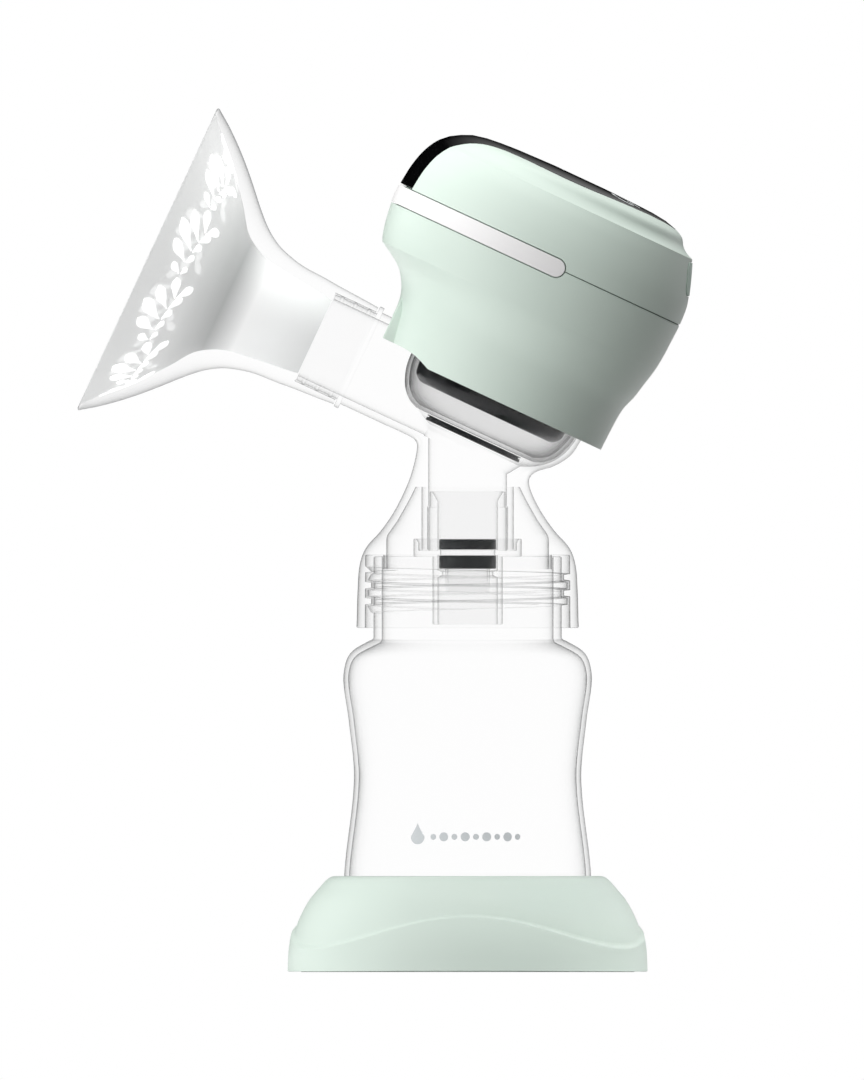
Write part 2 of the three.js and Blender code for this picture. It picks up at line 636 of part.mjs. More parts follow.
// Membrane: a rubber disc with three cups, between the head and its cap.
function pumpMembrane() {
  const disc = solid(cylinder(8.3, 13.4, 15, { facets: 20 }));
  const cups = [0, 120, 240].map((degrees) => {
    const angle = THREE.MathUtils.degToRad(degrees);
    return solid(cylinder(2.4, 10.6, 14).translate(4.6 * Math.cos(angle), 4.6 * Math.sin(angle), 0));
  });
  return surface(wasm.Manifold.union([disc, ...cups]));
}

function pumpCap() {
  const cap = turned([
    [0, 17.3], [9.4, 17.3], [9.4, 20.4], [8.6, 21.2], [1.8, 21.2], [1.8, 25], [1.4, 25.4], [0, 25.4],
  ], { facets: 16 });
  return surface(solid(cap).subtract(solid(cylinder(0.8, 19, 26, { facets: 8 }))));
}

function motorCushion() {
  return cylinder(11.2, -15, -7, { facets: 20, bore: MOTOR_RADIUS + GAP });
}

// Routes of the two air tubes, from the plug's stubs to the pump's cap and the release valve.
const AIR_TUBE_BOWL = [
  [CUP_OFFSET, 0, 10.2], [CUP_OFFSET, 0, 11.4], [CUP_OFFSET + 2, 0.8, 13.6], [12, 2, 16],
  [18.6, 2.4, 19.5], [25.6, 1.4, 23], [30.2, -3.4, 26], [31, -8, 29.2], [29, -9.9, 30],
  [27, PUMP_AXIS_SIDE, PUMP_AXIS_HEIGHT],
];
const AIR_TUBE_VALVE = [
  [CUP_OFFSET - 10, 0, 10.3], [CUP_OFFSET - 10, 0, 12], [-6.8, 1, 14.8], [-10, 2, 18],
  [-15, 2.6, 21.4], [-21, 3.4, 23.4], [-23.6, 3.8, 25.6], [VALVE_STUB[0], VALVE_STUB[1], 28],
];

// Release valve: a coil with a blind bore, and an air stub below.
function solenoidCoil() {
  const block = solid(box([-32.3, -6, 30.6], [-21.5, 6, 41.6]));
  const bore = solid(cylinder(2.3, 29, 40.2).translate(PLUNGER_PLACE, 0, 0));
  const stub = solid(cylinder(1.5, 28.4, 31).translate(VALVE_STUB[0], VALVE_STUB[1], 0));
  return surface(block.add(stub).subtract(bore));
}

function solenoidPlunger() {
  return turned([[0, 26.9], [2.6, 26.9], [2.6, 28.6], [1.9, 28.6], [1.9, 37], [0, 37]], { facets: SMALL })
    .translate(PLUNGER_PLACE, 0, 0);
}

function solenoidSpring() {
  return ridge({
    root: 1.1, crest: 1.6, rootWidth: 0.4, crestWidth: 0.4,
    height: 37.4, fromTurn: 0, toTurn: 2.5, pitch: 0.9, perTurn: 8,
  }).translate(PLUNGER_PLACE, 0, 0);
}

// ---------------------------------------------------------------- assembly

const MATERIALS = {
  mint: { color: 0xcfe2d6, roughness: 0.4 },
  white: { color: 0xf2f2f2, roughness: 0.35 },
  black: { color: 0x0c0d0e, roughness: 0.1 },
  clear: { color: 0xf1f5f6, roughness: 0.06, transparent: true, opacity: 0.35 },
  silicone: { color: 0xe9ebec, roughness: 0.35, transparent: true, opacity: 0.55 },
  smoke: { color: 0x8d9193, roughness: 0.25, transparent: true, opacity: 0.6 },
  charcoal: { color: 0x2a2c2e, roughness: 0.45 },
  rubber: { color: 0x3b3d3f, roughness: 0.8 },
  board: { color: 0x1f6a43, roughness: 0.5 },
  steel: { color: 0xb9bcc0, roughness: 0.3, metalness: 0.9 },
  foil: { color: 0x5c7fae, roughness: 0.35 },
  copper: { color: 0xb06a3c, roughness: 0.4, metalness: 0.8 },
};

function piece(parent, name, geometry, look) {
  const mesh = new THREE.Mesh(geometry, new THREE.MeshStandardMaterial(MATERIALS[look]));
  mesh.name = name;
  parent.add(mesh);
}

// A group that takes the place of a frame, so that its pieces are drawn in that frame.
function frameGroup(parent, matrix) {
  const frame = new THREE.Group();
  frame.applyMatrix4(matrix);
  parent.add(frame);
  return frame;
}

const group = new THREE.Group();
piece(group, 'base_shell', standShell(), 'mint');
piece(group, 'base_grip_pad', standPad(), 'rubber');
piece(group, 'bottle', bottle(), 'clear');
piece(group, 'tee_body', teeBody(), 'clear');
piece(group, 'valve_body', valveBody(), 'clear');
piece(group, 'valve_core', valveCore(), 'charcoal');

const arm = frameGroup(group, armFrame);
piece(arm, 'breast_shield', breastShield(), 'silicone');

const cup = frameGroup(group, cupFrame);
piece(cup, 'diaphragm_bowl', diaphragmBowl(), 'smoke');
piece(cup, 'diaphragm_plate', diaphragmPlate(), 'charcoal');
piece(cup, 'nozzle_plate', nozzlePlate(), 'charcoal');

const head = frameGroup(group, headFrame);
piece(head, 'lower_casing', lowerCasing(), 'mint');
piece(head, 'upper_casing', upperCasing(), 'mint');
piece(head, 'trim_band', trimBand(), 'white');
piece(head, 'touch_panel', touchPanel(), 'black');
piece(head, 'port_cover', portCover(), 'mint');
piece(head, 'usb_socket', usbSocket(), 'steel');
piece(head, 'main_board', mainBoard(), 'board');
piece(head, 'touch_board', box([-13.5, -15, 57.6], [13.5, 15, 58.8]), 'board');
piece(head, 'display_module', box([-12, -6.5, 59.1], [12, 6.5, 61.9]), 'black');
piece(head, 'board_ribbon', box([-13, -4.5, 50.7], [-12.6, 4.5, 57.3]), 'white');
piece(head, 'battery', box([-16, 5.6, 20.6], [26, 16, 41.6]), 'foil');
piece(head, 'chassis', chassis(), 'white');
piece(head, 'air_tube_bowl', tube(AIR_TUBE_BOWL, 1.9, 22), 'silicone');
piece(head, 'air_tube_valve', tube(AIR_TUBE_VALVE, 1.9, 12), 'silicone');
piece(head, 'solenoid_coil', solenoidCoil(), 'steel');
piece(head, 'solenoid_plunger', solenoidPlunger(), 'steel');
piece(head, 'solenoid_spring', solenoidSpring(), 'steel');

// The pump's own frame: Z runs along its shaft, towards the rear.
const pumpFrame = new THREE.Matrix4().makeRotationY(Math.PI / 2)
  .setPosition(0, PUMP_AXIS_SIDE, PUMP_AXIS_HEIGHT);
const pump = frameGroup(head, pumpFrame);
piece(pump, 'motor_can', motorCan(), 'steel');
piece(pump, 'motor_rotor', motorRotor(), 'copper');
piece(pump, 'motor_cushion', motorCushion(), 'rubber');
piece(pump, 'pump_head', pumpHead(), 'charcoal');
piece(pump, 'pump_membrane', pumpMembrane(), 'rubber');
piece(pump, 'pump_cap', pumpCap(), 'charcoal');

function screws(prefix, places, seat, length) {
  places.forEach(([x, y], i) => {
    piece(head, `${prefix}_${i + 1}`, screw(seat, length).translate(x, y, 0), 'steel');
  });
}
screws('plate_screw', PLATE_SCREWS, SHELF_TOP + 1.95, 3.6);
screws('chassis_screw', CHASSIS_SCREWS, 44.15, 9);
screws('cover_screw', COVER_SCREWS, 59.85, 8);

export default group;
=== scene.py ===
import math

import bpy
from mathutils import Matrix, Vector


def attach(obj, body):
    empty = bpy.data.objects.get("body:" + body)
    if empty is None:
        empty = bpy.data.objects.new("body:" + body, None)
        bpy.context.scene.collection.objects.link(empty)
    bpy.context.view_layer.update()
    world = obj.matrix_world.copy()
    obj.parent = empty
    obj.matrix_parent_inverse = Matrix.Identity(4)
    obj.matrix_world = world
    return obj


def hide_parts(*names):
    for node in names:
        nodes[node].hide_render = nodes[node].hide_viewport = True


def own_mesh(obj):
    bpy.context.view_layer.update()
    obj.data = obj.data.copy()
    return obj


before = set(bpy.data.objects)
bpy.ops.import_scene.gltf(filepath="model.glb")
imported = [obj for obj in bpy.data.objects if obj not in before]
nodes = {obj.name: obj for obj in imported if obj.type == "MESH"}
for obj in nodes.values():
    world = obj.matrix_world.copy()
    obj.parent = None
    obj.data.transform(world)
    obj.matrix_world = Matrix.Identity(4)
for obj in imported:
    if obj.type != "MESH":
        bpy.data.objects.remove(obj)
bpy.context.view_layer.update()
MM = 0.001
TAU = 2 * math.pi

# ------------------------------------------------------------------ stand shell
# The stand is one injection-moulded ABS shell in satin mint. A skirt runs round it and stands
# a little proud of the dome, and its upper edge rises and falls in three soft waves.

WELD = 2e-6
ARC_STEPS = 5
STAND_SKIN = [(44.95, 0.25), (44.5, 6.0), (43.2, 11.0), (40.0, 17.5), (36.8, 21.4), (35.4, 23.0)]
STAND_TOP = 24.0
WAVE_MIDDLE = 9.7
WAVE_RISE = 4.0
WAVE_COUNT = 3
WAVE_REACH = 23.1
SKIRT_PROUD = 0.42
SOCKET = 31.4
SOCKET_FLOOR = 5.0


def choose(piece):
    """Selects one piece alone and makes it the active one."""
    bpy.ops.object.select_all(action="DESELECT")
    piece.select_set(True)
    bpy.context.view_layer.objects.active = piece


def flowing(points, spacing=1.2):
    """Points about spacing apart on a smooth line through the given ones."""
    path = [Vector(point) for point in points]
    line = []
    for i, (start, end) in enumerate(zip(path, path[1:])):
        before = path[i - 1] if i else start
        after = path[i + 2] if i + 2 < len(path) else end
        length = (end - start).length
        leaving = (end - before) * (length / (length + (start - before).length))
        arriving = (after - start) * (length / (length + (after - end).length))
        count = max(2, round(length / spacing))
        for k in range(count):
            t = k / count
            line.append(
                start * (2 * t**3 - 3 * t**2 + 1)
                + leaving * (t**3 - 2 * t**2 + t)
                + end * (3 * t**2 - 2 * t**3)
                + arriving * (t**3 - t**2)
            )
    return line + [path[-1]]


def rounded(corners):
    """The corners' outline, with an arc at each corner that has a third number, its setback."""
    line = []
    for i, corner in enumerate(corners):
        point = Vector(corner[:2])
        if len(corner) < 3:
            line.append(point)
            continue
        before = Vector(corners[i - 1][:2])
        after = Vector(corners[(i + 1) % len(corners)][:2])
        start = point + (before - point).normalized() * corner[2]
        end = point + (after - point).normalized() * corner[2]
        for k in range(ARC_STEPS + 1):
            t = k / ARC_STEPS
            line.append(start.lerp(point, t).lerp(point.lerp(end, t), t))
    return line


def radius_at(line, height):
    """The radius at a height on a line of (radius, height) points that climbs."""
    for low, high in zip(line, line[1:]):
        if height <= high.y:
            return low.x + (high.x - low.x) * (height - low.y) / (high.y - low.y)
    return line[-1].x


def started(name, add, **settings):
    """A new piece from one of Blender's primitives, alone selected, with its name."""
    bpy.ops.object.select_all(action="DESELECT")
    add(**settings)
    piece = bpy.context.object
    piece.name = piece.data.name = name
    return piece


def drawn(name, spots):
    """A new piece, left in edit mode, with one vertex drawn along the spots."""
    piece = started(name, bpy.ops.mesh.primitive_plane_add, size=MM)
    bpy.ops.object.mode_set(mode="EDIT")
    bpy.ops.mesh.merge(type="CENTER")
    bpy.ops.transform.translate(value=spots[0])
    for start, end in zip(spots, spots[1:]):
        bpy.ops.mesh.extrude_region_move(TRANSFORM_OT_translate={"value": end - start})
    bpy.ops.mesh.select_all(action="SELECT")
    return piece


def turn_outward():
    """Turns the faces of the piece in edit mode outwards, and leaves edit mode."""
    bpy.ops.mesh.select_all(action="SELECT")
    bpy.ops.mesh.normals_make_consistent(inside=False)
    bpy.ops.object.mode_set(mode="OBJECT")


def turned(name, corners, place=Matrix(), ring=False, steps=128):
    """A vertex drawn along an outline of (radius, height) and spun round the place's Z axis."""
    outline = rounded(corners)
    if ring:
        outline.append(outline[0])
    piece = drawn(name, [place @ Vector((point.x * MM, 0, point.y * MM)) for point in outline])
    bpy.ops.mesh.spin(steps=steps, angle=TAU, center=place.translation, axis=place.col[2].xyz)
    bpy.ops.mesh.select_all(action="SELECT")
    bpy.ops.mesh.remove_doubles(threshold=WELD)
    turn_outward()
    return piece


def smoothed(piece, angle=32):
    """Smooth shading that keeps the edges sharper than an angle."""
    choose(piece)
    bpy.ops.object.shade_smooth_by_angle(angle=math.radians(angle))
    return piece


def proudness(above):
    """How far the skin stands out at a height above the wave's edge."""
    if above < 0:
        return SKIRT_PROUD * math.exp(above / 5)
    step = min(1, above / 0.9)
    return SKIRT_PROUD * (1 - 1.7 * step * step * (3 - 2 * step)) * math.exp(-above / 5)


skin_line = flowing(STAND_SKIN, 0.5)
ledge = [WAVE_MIDDLE + rise for rise in (-1.2, -0.6, -0.2, 0, 0.2, 0.4, 0.6, 0.9, 1.3, 2.0)]
heights = [0.25, 1.2, 2.5, 4, 5.5, 7, 8] + ledge + [12.7, 14, 15.5, 17, 18.5, 20, 21.2, 22.2, 23.0]
skin = [(radius_at(skin_line, height) + proudness(height - WAVE_MIDDLE), height) for height in heights]
stand = turned(
    "stand_shell",
    [
        (0, 3.0), (SOCKET + 1.8, 3.0), (SOCKET + 1.8, 21.6, 0.8), (35.2, 20.6, 1.2), (40.6, 12, 3),
        (43, 0.25, 0.1), (44.7, 0.1), *skin, (34.0, STAND_TOP, 1.0), (32.2, STAND_TOP, 0.4),
        (SOCKET, STAND_TOP - 0.8, 0.4), (SOCKET, SOCKET_FLOOR, 1.2), (0, SOCKET_FLOOR),
    ],
    steps=192,
)
for vertex in stand.data.vertices:
    radius = math.hypot(vertex.co.x, vertex.co.y) / MM
    height = vertex.co.z / MM
    bare = radius_at(skin_line, height)
    if height < 0.2 or height > WAVE_REACH or radius < bare - 0.6:
        continue
    turn = math.atan2(vertex.co.y, vertex.co.x) + TAU / 4
    wave = WAVE_MIDDLE + WAVE_RISE * math.cos(WAVE_COUNT * turn)
    if height < WAVE_MIDDLE:
        moved = height * wave / WAVE_MIDDLE
    else:
        moved = WAVE_REACH - (WAVE_REACH - height) * (WAVE_REACH - wave) / (WAVE_REACH - WAVE_MIDDLE)
    grown = (radius + radius_at(skin_line, moved) - bare) / radius
    vertex.co = (vertex.co.x * grown, vertex.co.y * grown, moved * MM)
smoothed(stand, 40)


def linear(code):
    """A hex colour as the linear values that a shader takes."""
    values = [int(code[i : i + 2], 16) / 255 for i in (1, 3, 5)]
    return (*[v / 12.92 if v <= 0.04045 else ((v + 0.055) / 1.055) ** 2.4 for v in values], 1)


def add_node(tree, kind, settings={}, links={}):
    """Adds a shader node of a kind, sets its properties and sockets, and links outputs to it."""
    made = tree.nodes.new("ShaderNode" + kind)
    for key, value in settings.items():
        if isinstance(key, str) and hasattr(made, key):
            setattr(made, key, value)
        else:
            made.inputs[key].default_value = value
    for key, output in links.items():
        tree.links.new(output, made.inputs[key])
    return made


def grained(tree, size, detail=2):
    """Noise through the piece's own space, with grains of about a size in millimetres."""
    place = add_node(tree, "TexCoord")
    settings = {"Scale": 1 / (size * MM), "Detail": detail}
    return add_node(tree, "TexNoise", settings, {"Vector": place.outputs["Object"]}).outputs["Fac"]


def embossed(tree, relief, strength, depth):
    """The normal of a surface that carries a relief, with a depth in millimetres."""
    settings = {"Strength": strength, "Distance": depth * MM}
    return add_node(tree, "Bump", settings, {"Height": relief}).outputs["Normal"]


def varied(tree, share, low, high):
    """A value that runs from low to high with a share from 0 to 1."""
    return add_node(tree, "MapRange", {"To Min": low, "To Max": high}, {"Value": share}).outputs["Result"]


def coated(tree, settings, links):
    """Makes one opaque shader the material's surface."""
    shader = add_node(tree, "BsdfPrincipled", settings, links)
    add_node(tree, "OutputMaterial", {}, {"Surface": shader.outputs["BSDF"]})


def layered(tree, share, first, second):
    """Makes two shaders, mixed by a number or by an output, the material's surface."""
    settings, links = ({"Fac": share}, {}) if isinstance(share, float) else ({}, {"Fac": share})
    links.update({1: first.outputs["BSDF"], 2: second.outputs["BSDF"]})
    mixed = add_node(tree, "MixShader", settings, links)
    add_node(tree, "OutputMaterial", {}, {"Surface": mixed.outputs["Shader"]})


def blank(name):
    """A new material with an empty node tree."""
    material = bpy.data.materials.new(name)
    material.use_nodes = True
    material.node_tree.nodes.clear()
    return material, material.node_tree


def wear(piece, *materials):
    """Gives the piece these materials and no others."""
    piece.data.materials.clear()
    for material in materials:
        piece.data.materials.append(material)


# Moulded ABS, spark-eroded to a fine satin: the grain breaks the highlight into a broad soft one,
# and the pigment is very slightly uneven over a few centimetres. Inks, soft rubber, nylon and
# shrink wrap have the same build with their own colours and grain.
def satin_abs(name, light, deep, roughness, grain=0.5):
    material, tree = blank(name)
    pigment = add_node(tree, "Mix", {"data_type": "RGBA"})
    for socket, code in (("A_Color", light), ("B_Color", deep)):
        next(s for s in pigment.inputs if s.identifier == socket).default_value = linear(code)
    tree.links.new(grained(tree, 35), pigment.inputs["Factor"])
    spark = grained(tree, grain, 3)
    coated(
        tree, {"IOR": 1.53},
        {
            "Base Color": next(o for o in pigment.outputs if o.identifier == "Result_Color"),
            "Roughness": varied(tree, spark, roughness - 0.05, roughness + 0.05),
            "Normal": embossed(tree, spark, 0.12, 0.02),
        },
    )
    return material


# The stand wears a darker copy of the casings' mint: painted shade that tones down how brightly the lamps
# light it.
wear(stand, satin_abs("mint_satin_abs_painted_shade", "#CEDBD2", "#C9D7CE", 0.36))
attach(stand, "base")
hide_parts("base_shell")

# ------------------------------------------------------------------ grip pad
# A disc of dark thermoplastic rubber, moulded with ring grooves and pressed into the stand's
# underside, where it keeps the stand from sliding.

PAD = 41.9
PAD_THICK = 2.6
GROOVE = [(0, 0), (0.4, 0.5), (1.6, 0.5), (2, 0)]

grooves = [(start + across, depth, 0.2) for start in (20, 28, 36) for across, depth in GROOVE]
pad = turned("grip_pad", [(0, 0), *grooves, (PAD, 0, 0.5), (PAD, PAD_THICK, 0.4), (0, PAD_THICK)])
smoothed(pad)


# Thermoplastic rubber: near-black grey, matt, with a fine pebbled grain.
def matt_rubber(name, code, roughness):
    material, tree = blank(name)
    place = add_node(tree, "TexCoord")
    pebble = add_node(tree, "TexVoronoi", {"Scale": 1 / (0.7 * MM)}, {"Vector": place.outputs["Object"]})
    coated(
        tree, {"Base Color": linear(code), "IOR": 1.5},
        {
            "Roughness": varied(tree, grained(tree, 9), roughness - 0.1, roughness + 0.1),
            "Normal": embossed(tree, pebble.outputs["Distance"], 0.25, 0.04),
        },
    )
    return material


dark_rubber = matt_rubber("dark_thermoplastic_rubber", "#3A3C3E", 0.78)
wear(pad, dark_rubber)
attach(pad, "base")
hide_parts("base_grip_pad")

# ------------------------------------------------------------------ bottle
# The bottle is stretch-blown clear copolyester with an even wall of 1.2 mm and a waist to hold
# it by. Its injection-moulded neck carries a right-handed thread of 4 mm pitch.

PITCH = 4.0
NECK = 23.5
NECK_BORE = 21.45
NECK_TOP = 103.9


def modified(piece, kind, **settings):
    """Gives a piece a modifier of a kind, with its settings, and applies it."""
    choose(piece)
    bpy.ops.object.modifier_add(type=kind)
    modifier = piece.modifiers[-1]
    for key, value in settings.items():
        setattr(modifier, key, value)
    bpy.ops.object.modifier_apply(modifier=modifier.name)
    return piece


def combined(piece, other, operation):
    """Joins, cuts or crosses a piece with another, which is used up."""
    modified(piece, "BOOLEAN", object=other, operation=operation, solver="EXACT")
    bpy.data.objects.remove(other)
    return piece


def screw_ridge(name, root, crest, root_width, crest_width, start, first_turn, last_turn, per_turn=72):
    """A thread ridge round Z, spun from its section with a rise, and faded out at both ends."""
    turns = last_turn - first_turn
    section = [
        (root, -root_width / 2), (crest, -crest_width / 2), (crest, crest_width / 2), (root, root_width / 2),
    ]
    piece = started(name, bpy.ops.mesh.primitive_plane_add, size=MM)
    for vertex, (radius, rise) in zip([piece.data.vertices[i] for i in (0, 1, 3, 2)], section):
        vertex.co = Vector((radius * MM, 0, (start + first_turn * PITCH + rise) * MM))
    steps = round(per_turn * turns)
    modified(
        piece, "SCREW", angle=TAU * turns, screw_offset=PITCH * turns * MM, steps=steps, render_steps=steps,
        use_smooth_shade=False,
    )
    spin = Matrix.Rotation(TAU * first_turn, 4, "Z")
    low, high = (start + first_turn * PITCH) * MM, (start + last_turn * PITCH) * MM
    for vertex in piece.data.vertices:
        along = min(vertex.co.z - low, high - vertex.co.z) / (PITCH * MM)
        growth = min(1, max(0, along * 4 + 0.2))
        radius = math.hypot(vertex.co.x, vertex.co.y)
        faded = root * MM + (radius - root * MM) * (0.25 + 0.75 * growth)
        vertex.co = spin @ Vector((vertex.co.x * faded / radius, vertex.co.y * faded / radius, vertex.co.z))
    choose(piece)
    bpy.ops.object.mode_set(mode="EDIT")
    bpy.ops.mesh.select_all(action="SELECT")
    bpy.ops.mesh.remove_doubles(threshold=WELD)
    bpy.ops.mesh.fill_holes(sides=4)
    turn_outward()
    return piece


bottle_flank = flowing(
    [
        (30.9, 9), (30.8, 24.9), (28.4, 47.9), (29.7, 62.9), (31.05, 72.9), (30.3, 77.9), (28.6, 80.4),
        (24.6, 82.8),
    ]
)
bottle_lining = flowing(
    [
        (23.3, 81.7), (27.5, 79.4), (29.1, 77.4), (29.85, 72.9), (28.5, 62.9), (27.2, 47.9), (29.6, 24.9),
        (29.7, 9.8),
    ]
)
bottle = turned(
    "milk_bottle",
    [
        (0, 6.4), (25, 5.7, 2), (26.5, 5.4, 0.6), (30.4, 5.4, 1.8), *bottle_flank, (NECK, 83.2, 0.6),
        (NECK, NECK_TOP, 0.5), (NECK_BORE, NECK_TOP, 0.5), (NECK_BORE, 82.6, 0.8), *bottle_lining,
        (29.0, 7.0, 1.2), (24, 7.2, 2), (0, 7.9),
    ],
)
combined(bottle, screw_ridge("bottle_thread", NECK - 0.4, 25.0, 2.2, 1.6, 88.7, 0.25, 2.75), "UNION")
smoothed(bottle)


# Clear plastic or silicone, polished in the tool, in an evenly white room: the wall itself can't
# be seen, but each of its faces draws a thin grey line where it turns edge-on.
def clear_moulding(name, line, body=0.004, sharpness=6.5, most=0.9, roughness=0.12, tint="#FFFFFF"):
    material, tree = blank(name)
    turning = add_node(tree, "LayerWeight", {"Blend": 0.5})
    edge = add_node(
        tree, "Math", {"operation": "POWER", 1: sharpness}, {0: turning.outputs["Facing"]}
    )
    cover = add_node(
        tree, "Math", {"operation": "MULTIPLY_ADD", 1: most - body, 2: body},
        {0: edge.outputs["Value"]},
    )
    through = add_node(tree, "BsdfTransparent", {"Color": linear(tint)})
    skin = add_node(
        tree, "BsdfPrincipled", {"Base Color": linear(line), "Roughness": roughness, "IOR": 1.45},
        {"Normal": embossed(tree, grained(tree, 12, 1), 0.06, 0.1)},
    )
    layered(tree, cover.outputs["Value"], through, skin)
    return material


clear_bottle = clear_moulding("clear_copolyester", "#66696B", 0.004, 7.5, 0.95)
wear(bottle, clear_bottle)
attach(bottle, "bottle")
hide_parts("bottle")

# ------------------------------------------------------------------ bottle print
# A small grey motif of a drop and a row of beads, pad-printed on the front of the bottle in
# ink a few hundredths of a millimetre thick.

PRINT_MIDDLE = 33.8
INK_PLACE = 0.04
INK_THICK = 0.02


def patch(name, rows, inside, thickness):
    """A grid laid on rows of points, facing away from a point inside it, then thickened inwards."""
    counts = {"x_subdivisions": len(rows[0]) - 1, "y_subdivisions": len(rows) - 1}
    piece = started(name, bpy.ops.mesh.primitive_grid_add, size=MM, **counts)
    order = sorted(piece.data.vertices, key=lambda vertex: (round(vertex.co.y, 8), round(vertex.co.x, 8)))
    for vertex, point in zip(order, [point for row in rows for point in row]):
        vertex.co = point
    piece.data.update()
    outward = sum(face.normal.dot(face.center - Vector(inside)) * face.area for face in piece.data.polygons)
    bpy.ops.object.mode_set(mode="EDIT")
    bpy.ops.mesh.select_all(action="SELECT")
    if outward < 0:
        bpy.ops.mesh.flip_normals()
    bpy.ops.mesh.remove_doubles(threshold=WELD)
    bpy.ops.object.mode_set(mode="OBJECT")
    return modified(piece, "SOLIDIFY", thickness=thickness * MM, offset=-1, use_even_offset=True)


def on_bottle(side, height):
    """The point on the bottle's front, a distance to the side of its middle and at a height."""
    radius = radius_at(bottle_flank, height) + INK_PLACE
    turn = side / radius
    return Vector((math.sin(turn) * radius, -math.cos(turn) * radius, height)) * MM


def bead(centre, radius, point_up=0.0):
    """Rows of an ink bead: a disc, or a drop when its top is drawn up to a point."""
    rows = []
    for i in range(9):
        t = -math.cos(math.pi * i / 8)
        half = math.sqrt(max(0, 1 - t * t)) * radius
        if point_up and t > 0:
            half *= 1 - t
        height = PRINT_MIDDLE + t * radius * (1 + (point_up if t > 0 else 0))
        rows.append([on_bottle(centre + half * s, height) for s in (-1, -0.6, -0.2, 0.2, 0.6, 1)])
    return rows


def gathered(name, parts):
    """Joins parts into one piece."""
    bpy.ops.object.select_all(action="DESELECT")
    for part in parts:
        part.select_set(True)
    bpy.context.view_layer.objects.active = parts[0]
    bpy.ops.object.join()
    parts[0].name = parts[0].data.name = name
    return parts[0]


print_centre = (0, 0, PRINT_MIDDLE * MM)
beads = [patch("drop", bead(-12.9, 1.9, 0.9), print_centre, INK_THICK)]
for i in range(9):
    size = 1.15 if i % 2 else 0.75
    beads.append(patch("bead", bead(-8.7 + i * 2.7, size), print_centre, INK_THICK))
motif = smoothed(gathered("bottle_print", beads))

# Pad-printing ink: cool mid grey, dead flat, with pinholes that show only close up.
ink, tree = blank("grey_printing_ink")
tone = add_node(tree, "ValToRGB", {}, {"Fac": grained(tree, 0.3)})
tone.color_ramp.elements[0].color = linear("#C2C7C9")
tone.color_ramp.elements[1].color = linear("#CCD0D2")
coated(
    tree, {"Roughness": 0.6, "IOR": 1.5}, {"Base Color": tone.outputs["Color"]}
)
wear(motif, ink)
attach(motif, "bottle")

# ------------------------------------------------------------------ tee
# The tee is one clear moulding: a bell that screws over the bottle's neck, an arm that the
# shield pushes on to, and a cup that carries the diaphragm bowl under the motor unit.

HEAD_HEIGHT = 141.0
HEAD_TILT = math.radians(25)
CUP_OFFSET = 4.5
ARM = 12.55
ARM_BORE = 10.65
SPIGOT = 11.8
SPIGOT_START = 30.5
SPIGOT_END = 41.8
CUP_TOP = 13.0
BELL_CEILING = 121.3

head = Matrix.Translation((0, 0, HEAD_HEIGHT * MM)) @ Matrix.Rotation(HEAD_TILT, 4, "Y")
cup = head @ Matrix.Translation((CUP_OFFSET * MM, 0, 0))
arm = head @ Matrix.Rotation(-math.pi / 2, 4, "Y")

bell = flowing(
    [
        (27.7, 88), (27.5, 95), (27.0, 101.6), (25.5, 105.9), (21.6, 110.4), (18.2, 115.4), (14.6, 123),
        (12.7, 130), (12.3, 134),
    ]
)
seal_ribs = []
for start in (31.9, 35.6, 39.3):
    seal_ribs += [(SPIGOT, start), (SPIGOT + 0.5, start + 0.6, 0.3), (SPIGOT, start + 1.2)]
tee = turned("pump_tee", [(0, 86), (27.8, 86, 0.5), *bell, (12, 136), (0, 138)])
tee_arm = turned(
    "tee_arm",
    [
        (0, 0), *flowing([(ARM, 0), (ARM, 29.3)]), (13.8, 29.3, 0.3), (13.8, SPIGOT_START, 0.3),
        (SPIGOT, SPIGOT_START), *seal_ribs, (SPIGOT, SPIGOT_END, 0.3), (0, SPIGOT_END),
    ],
    arm,
)
tee_cup = turned(
    "tee_cup",
    [
        (0, -10.5),
        *flowing([(11.5, -10.0), (17.7, -7.3), (21.5, -3.7), (23.9, 0.2), (24.6, 4.5), (24.9, 8)]),
        (24.9, CUP_TOP, 0.5), (0, CUP_TOP),
    ],
    cup,
)
combined(tee, tee_arm, "UNION")
combined(tee, tee_cup, "UNION")
for side, low, high, passes in ((-1, 128, 141, 14), (1, 114, 131, 50)):
    choose(tee)
    bpy.ops.object.mode_set(mode="EDIT")
    bpy.ops.mesh.select_all(action="DESELECT")
    bpy.ops.mesh.select_mode(type="VERT")
    bpy.ops.object.mode_set(mode="OBJECT")
    for vertex in tee.data.vertices:
        from_axis = math.hypot(vertex.co.x, vertex.co.y) / MM
        vertex.select = low < vertex.co.z / MM < high and 11 < from_axis < 20.5 and vertex.co.x * side > 0
    bpy.ops.object.mode_set(mode="EDIT")
    bpy.ops.mesh.vertices_smooth(factor=0.5, repeat=passes)
    bpy.ops.object.mode_set(mode="OBJECT")
bell_inside = turned(
    "bell_inside",
    [
        (0, 85), (25.7, 85), (25.6, 104.3, 0.4), (21.05, 104.3), (21.05, 100.7), (20.3, 100.7),
        (20.3, 108.9, 1), *flowing([(17.5, 112.9), (14.7, 117.9), (13.2, BELL_CEILING - 0.4)]),
        (13.0, BELL_CEILING), (11.5, BELL_CEILING), (11.5, 105.6), (0, 105.6),
    ],
)
channel = turned("channel", [(0, 104), (10.1, 104), (10.1, 116.4), (9.8, 116.4), (9.8, 133.6), (0, 133.6)])
arm_bore = turned("arm_bore", [(0, -5), (ARM_BORE, -5), (ARM_BORE, 42.8), (0, 42.8)], arm)
cup_bore = turned(
    "cup_bore",
    [
        (0, -10.9), (11.4, -10.9), *flowing([(13.6, -7.7), (17, -6.1), (20.2, -3.4), (22.4, 0.2), (23.4, 4)]),
        (23.4, 19), (0, 19),
    ],
    cup,
)
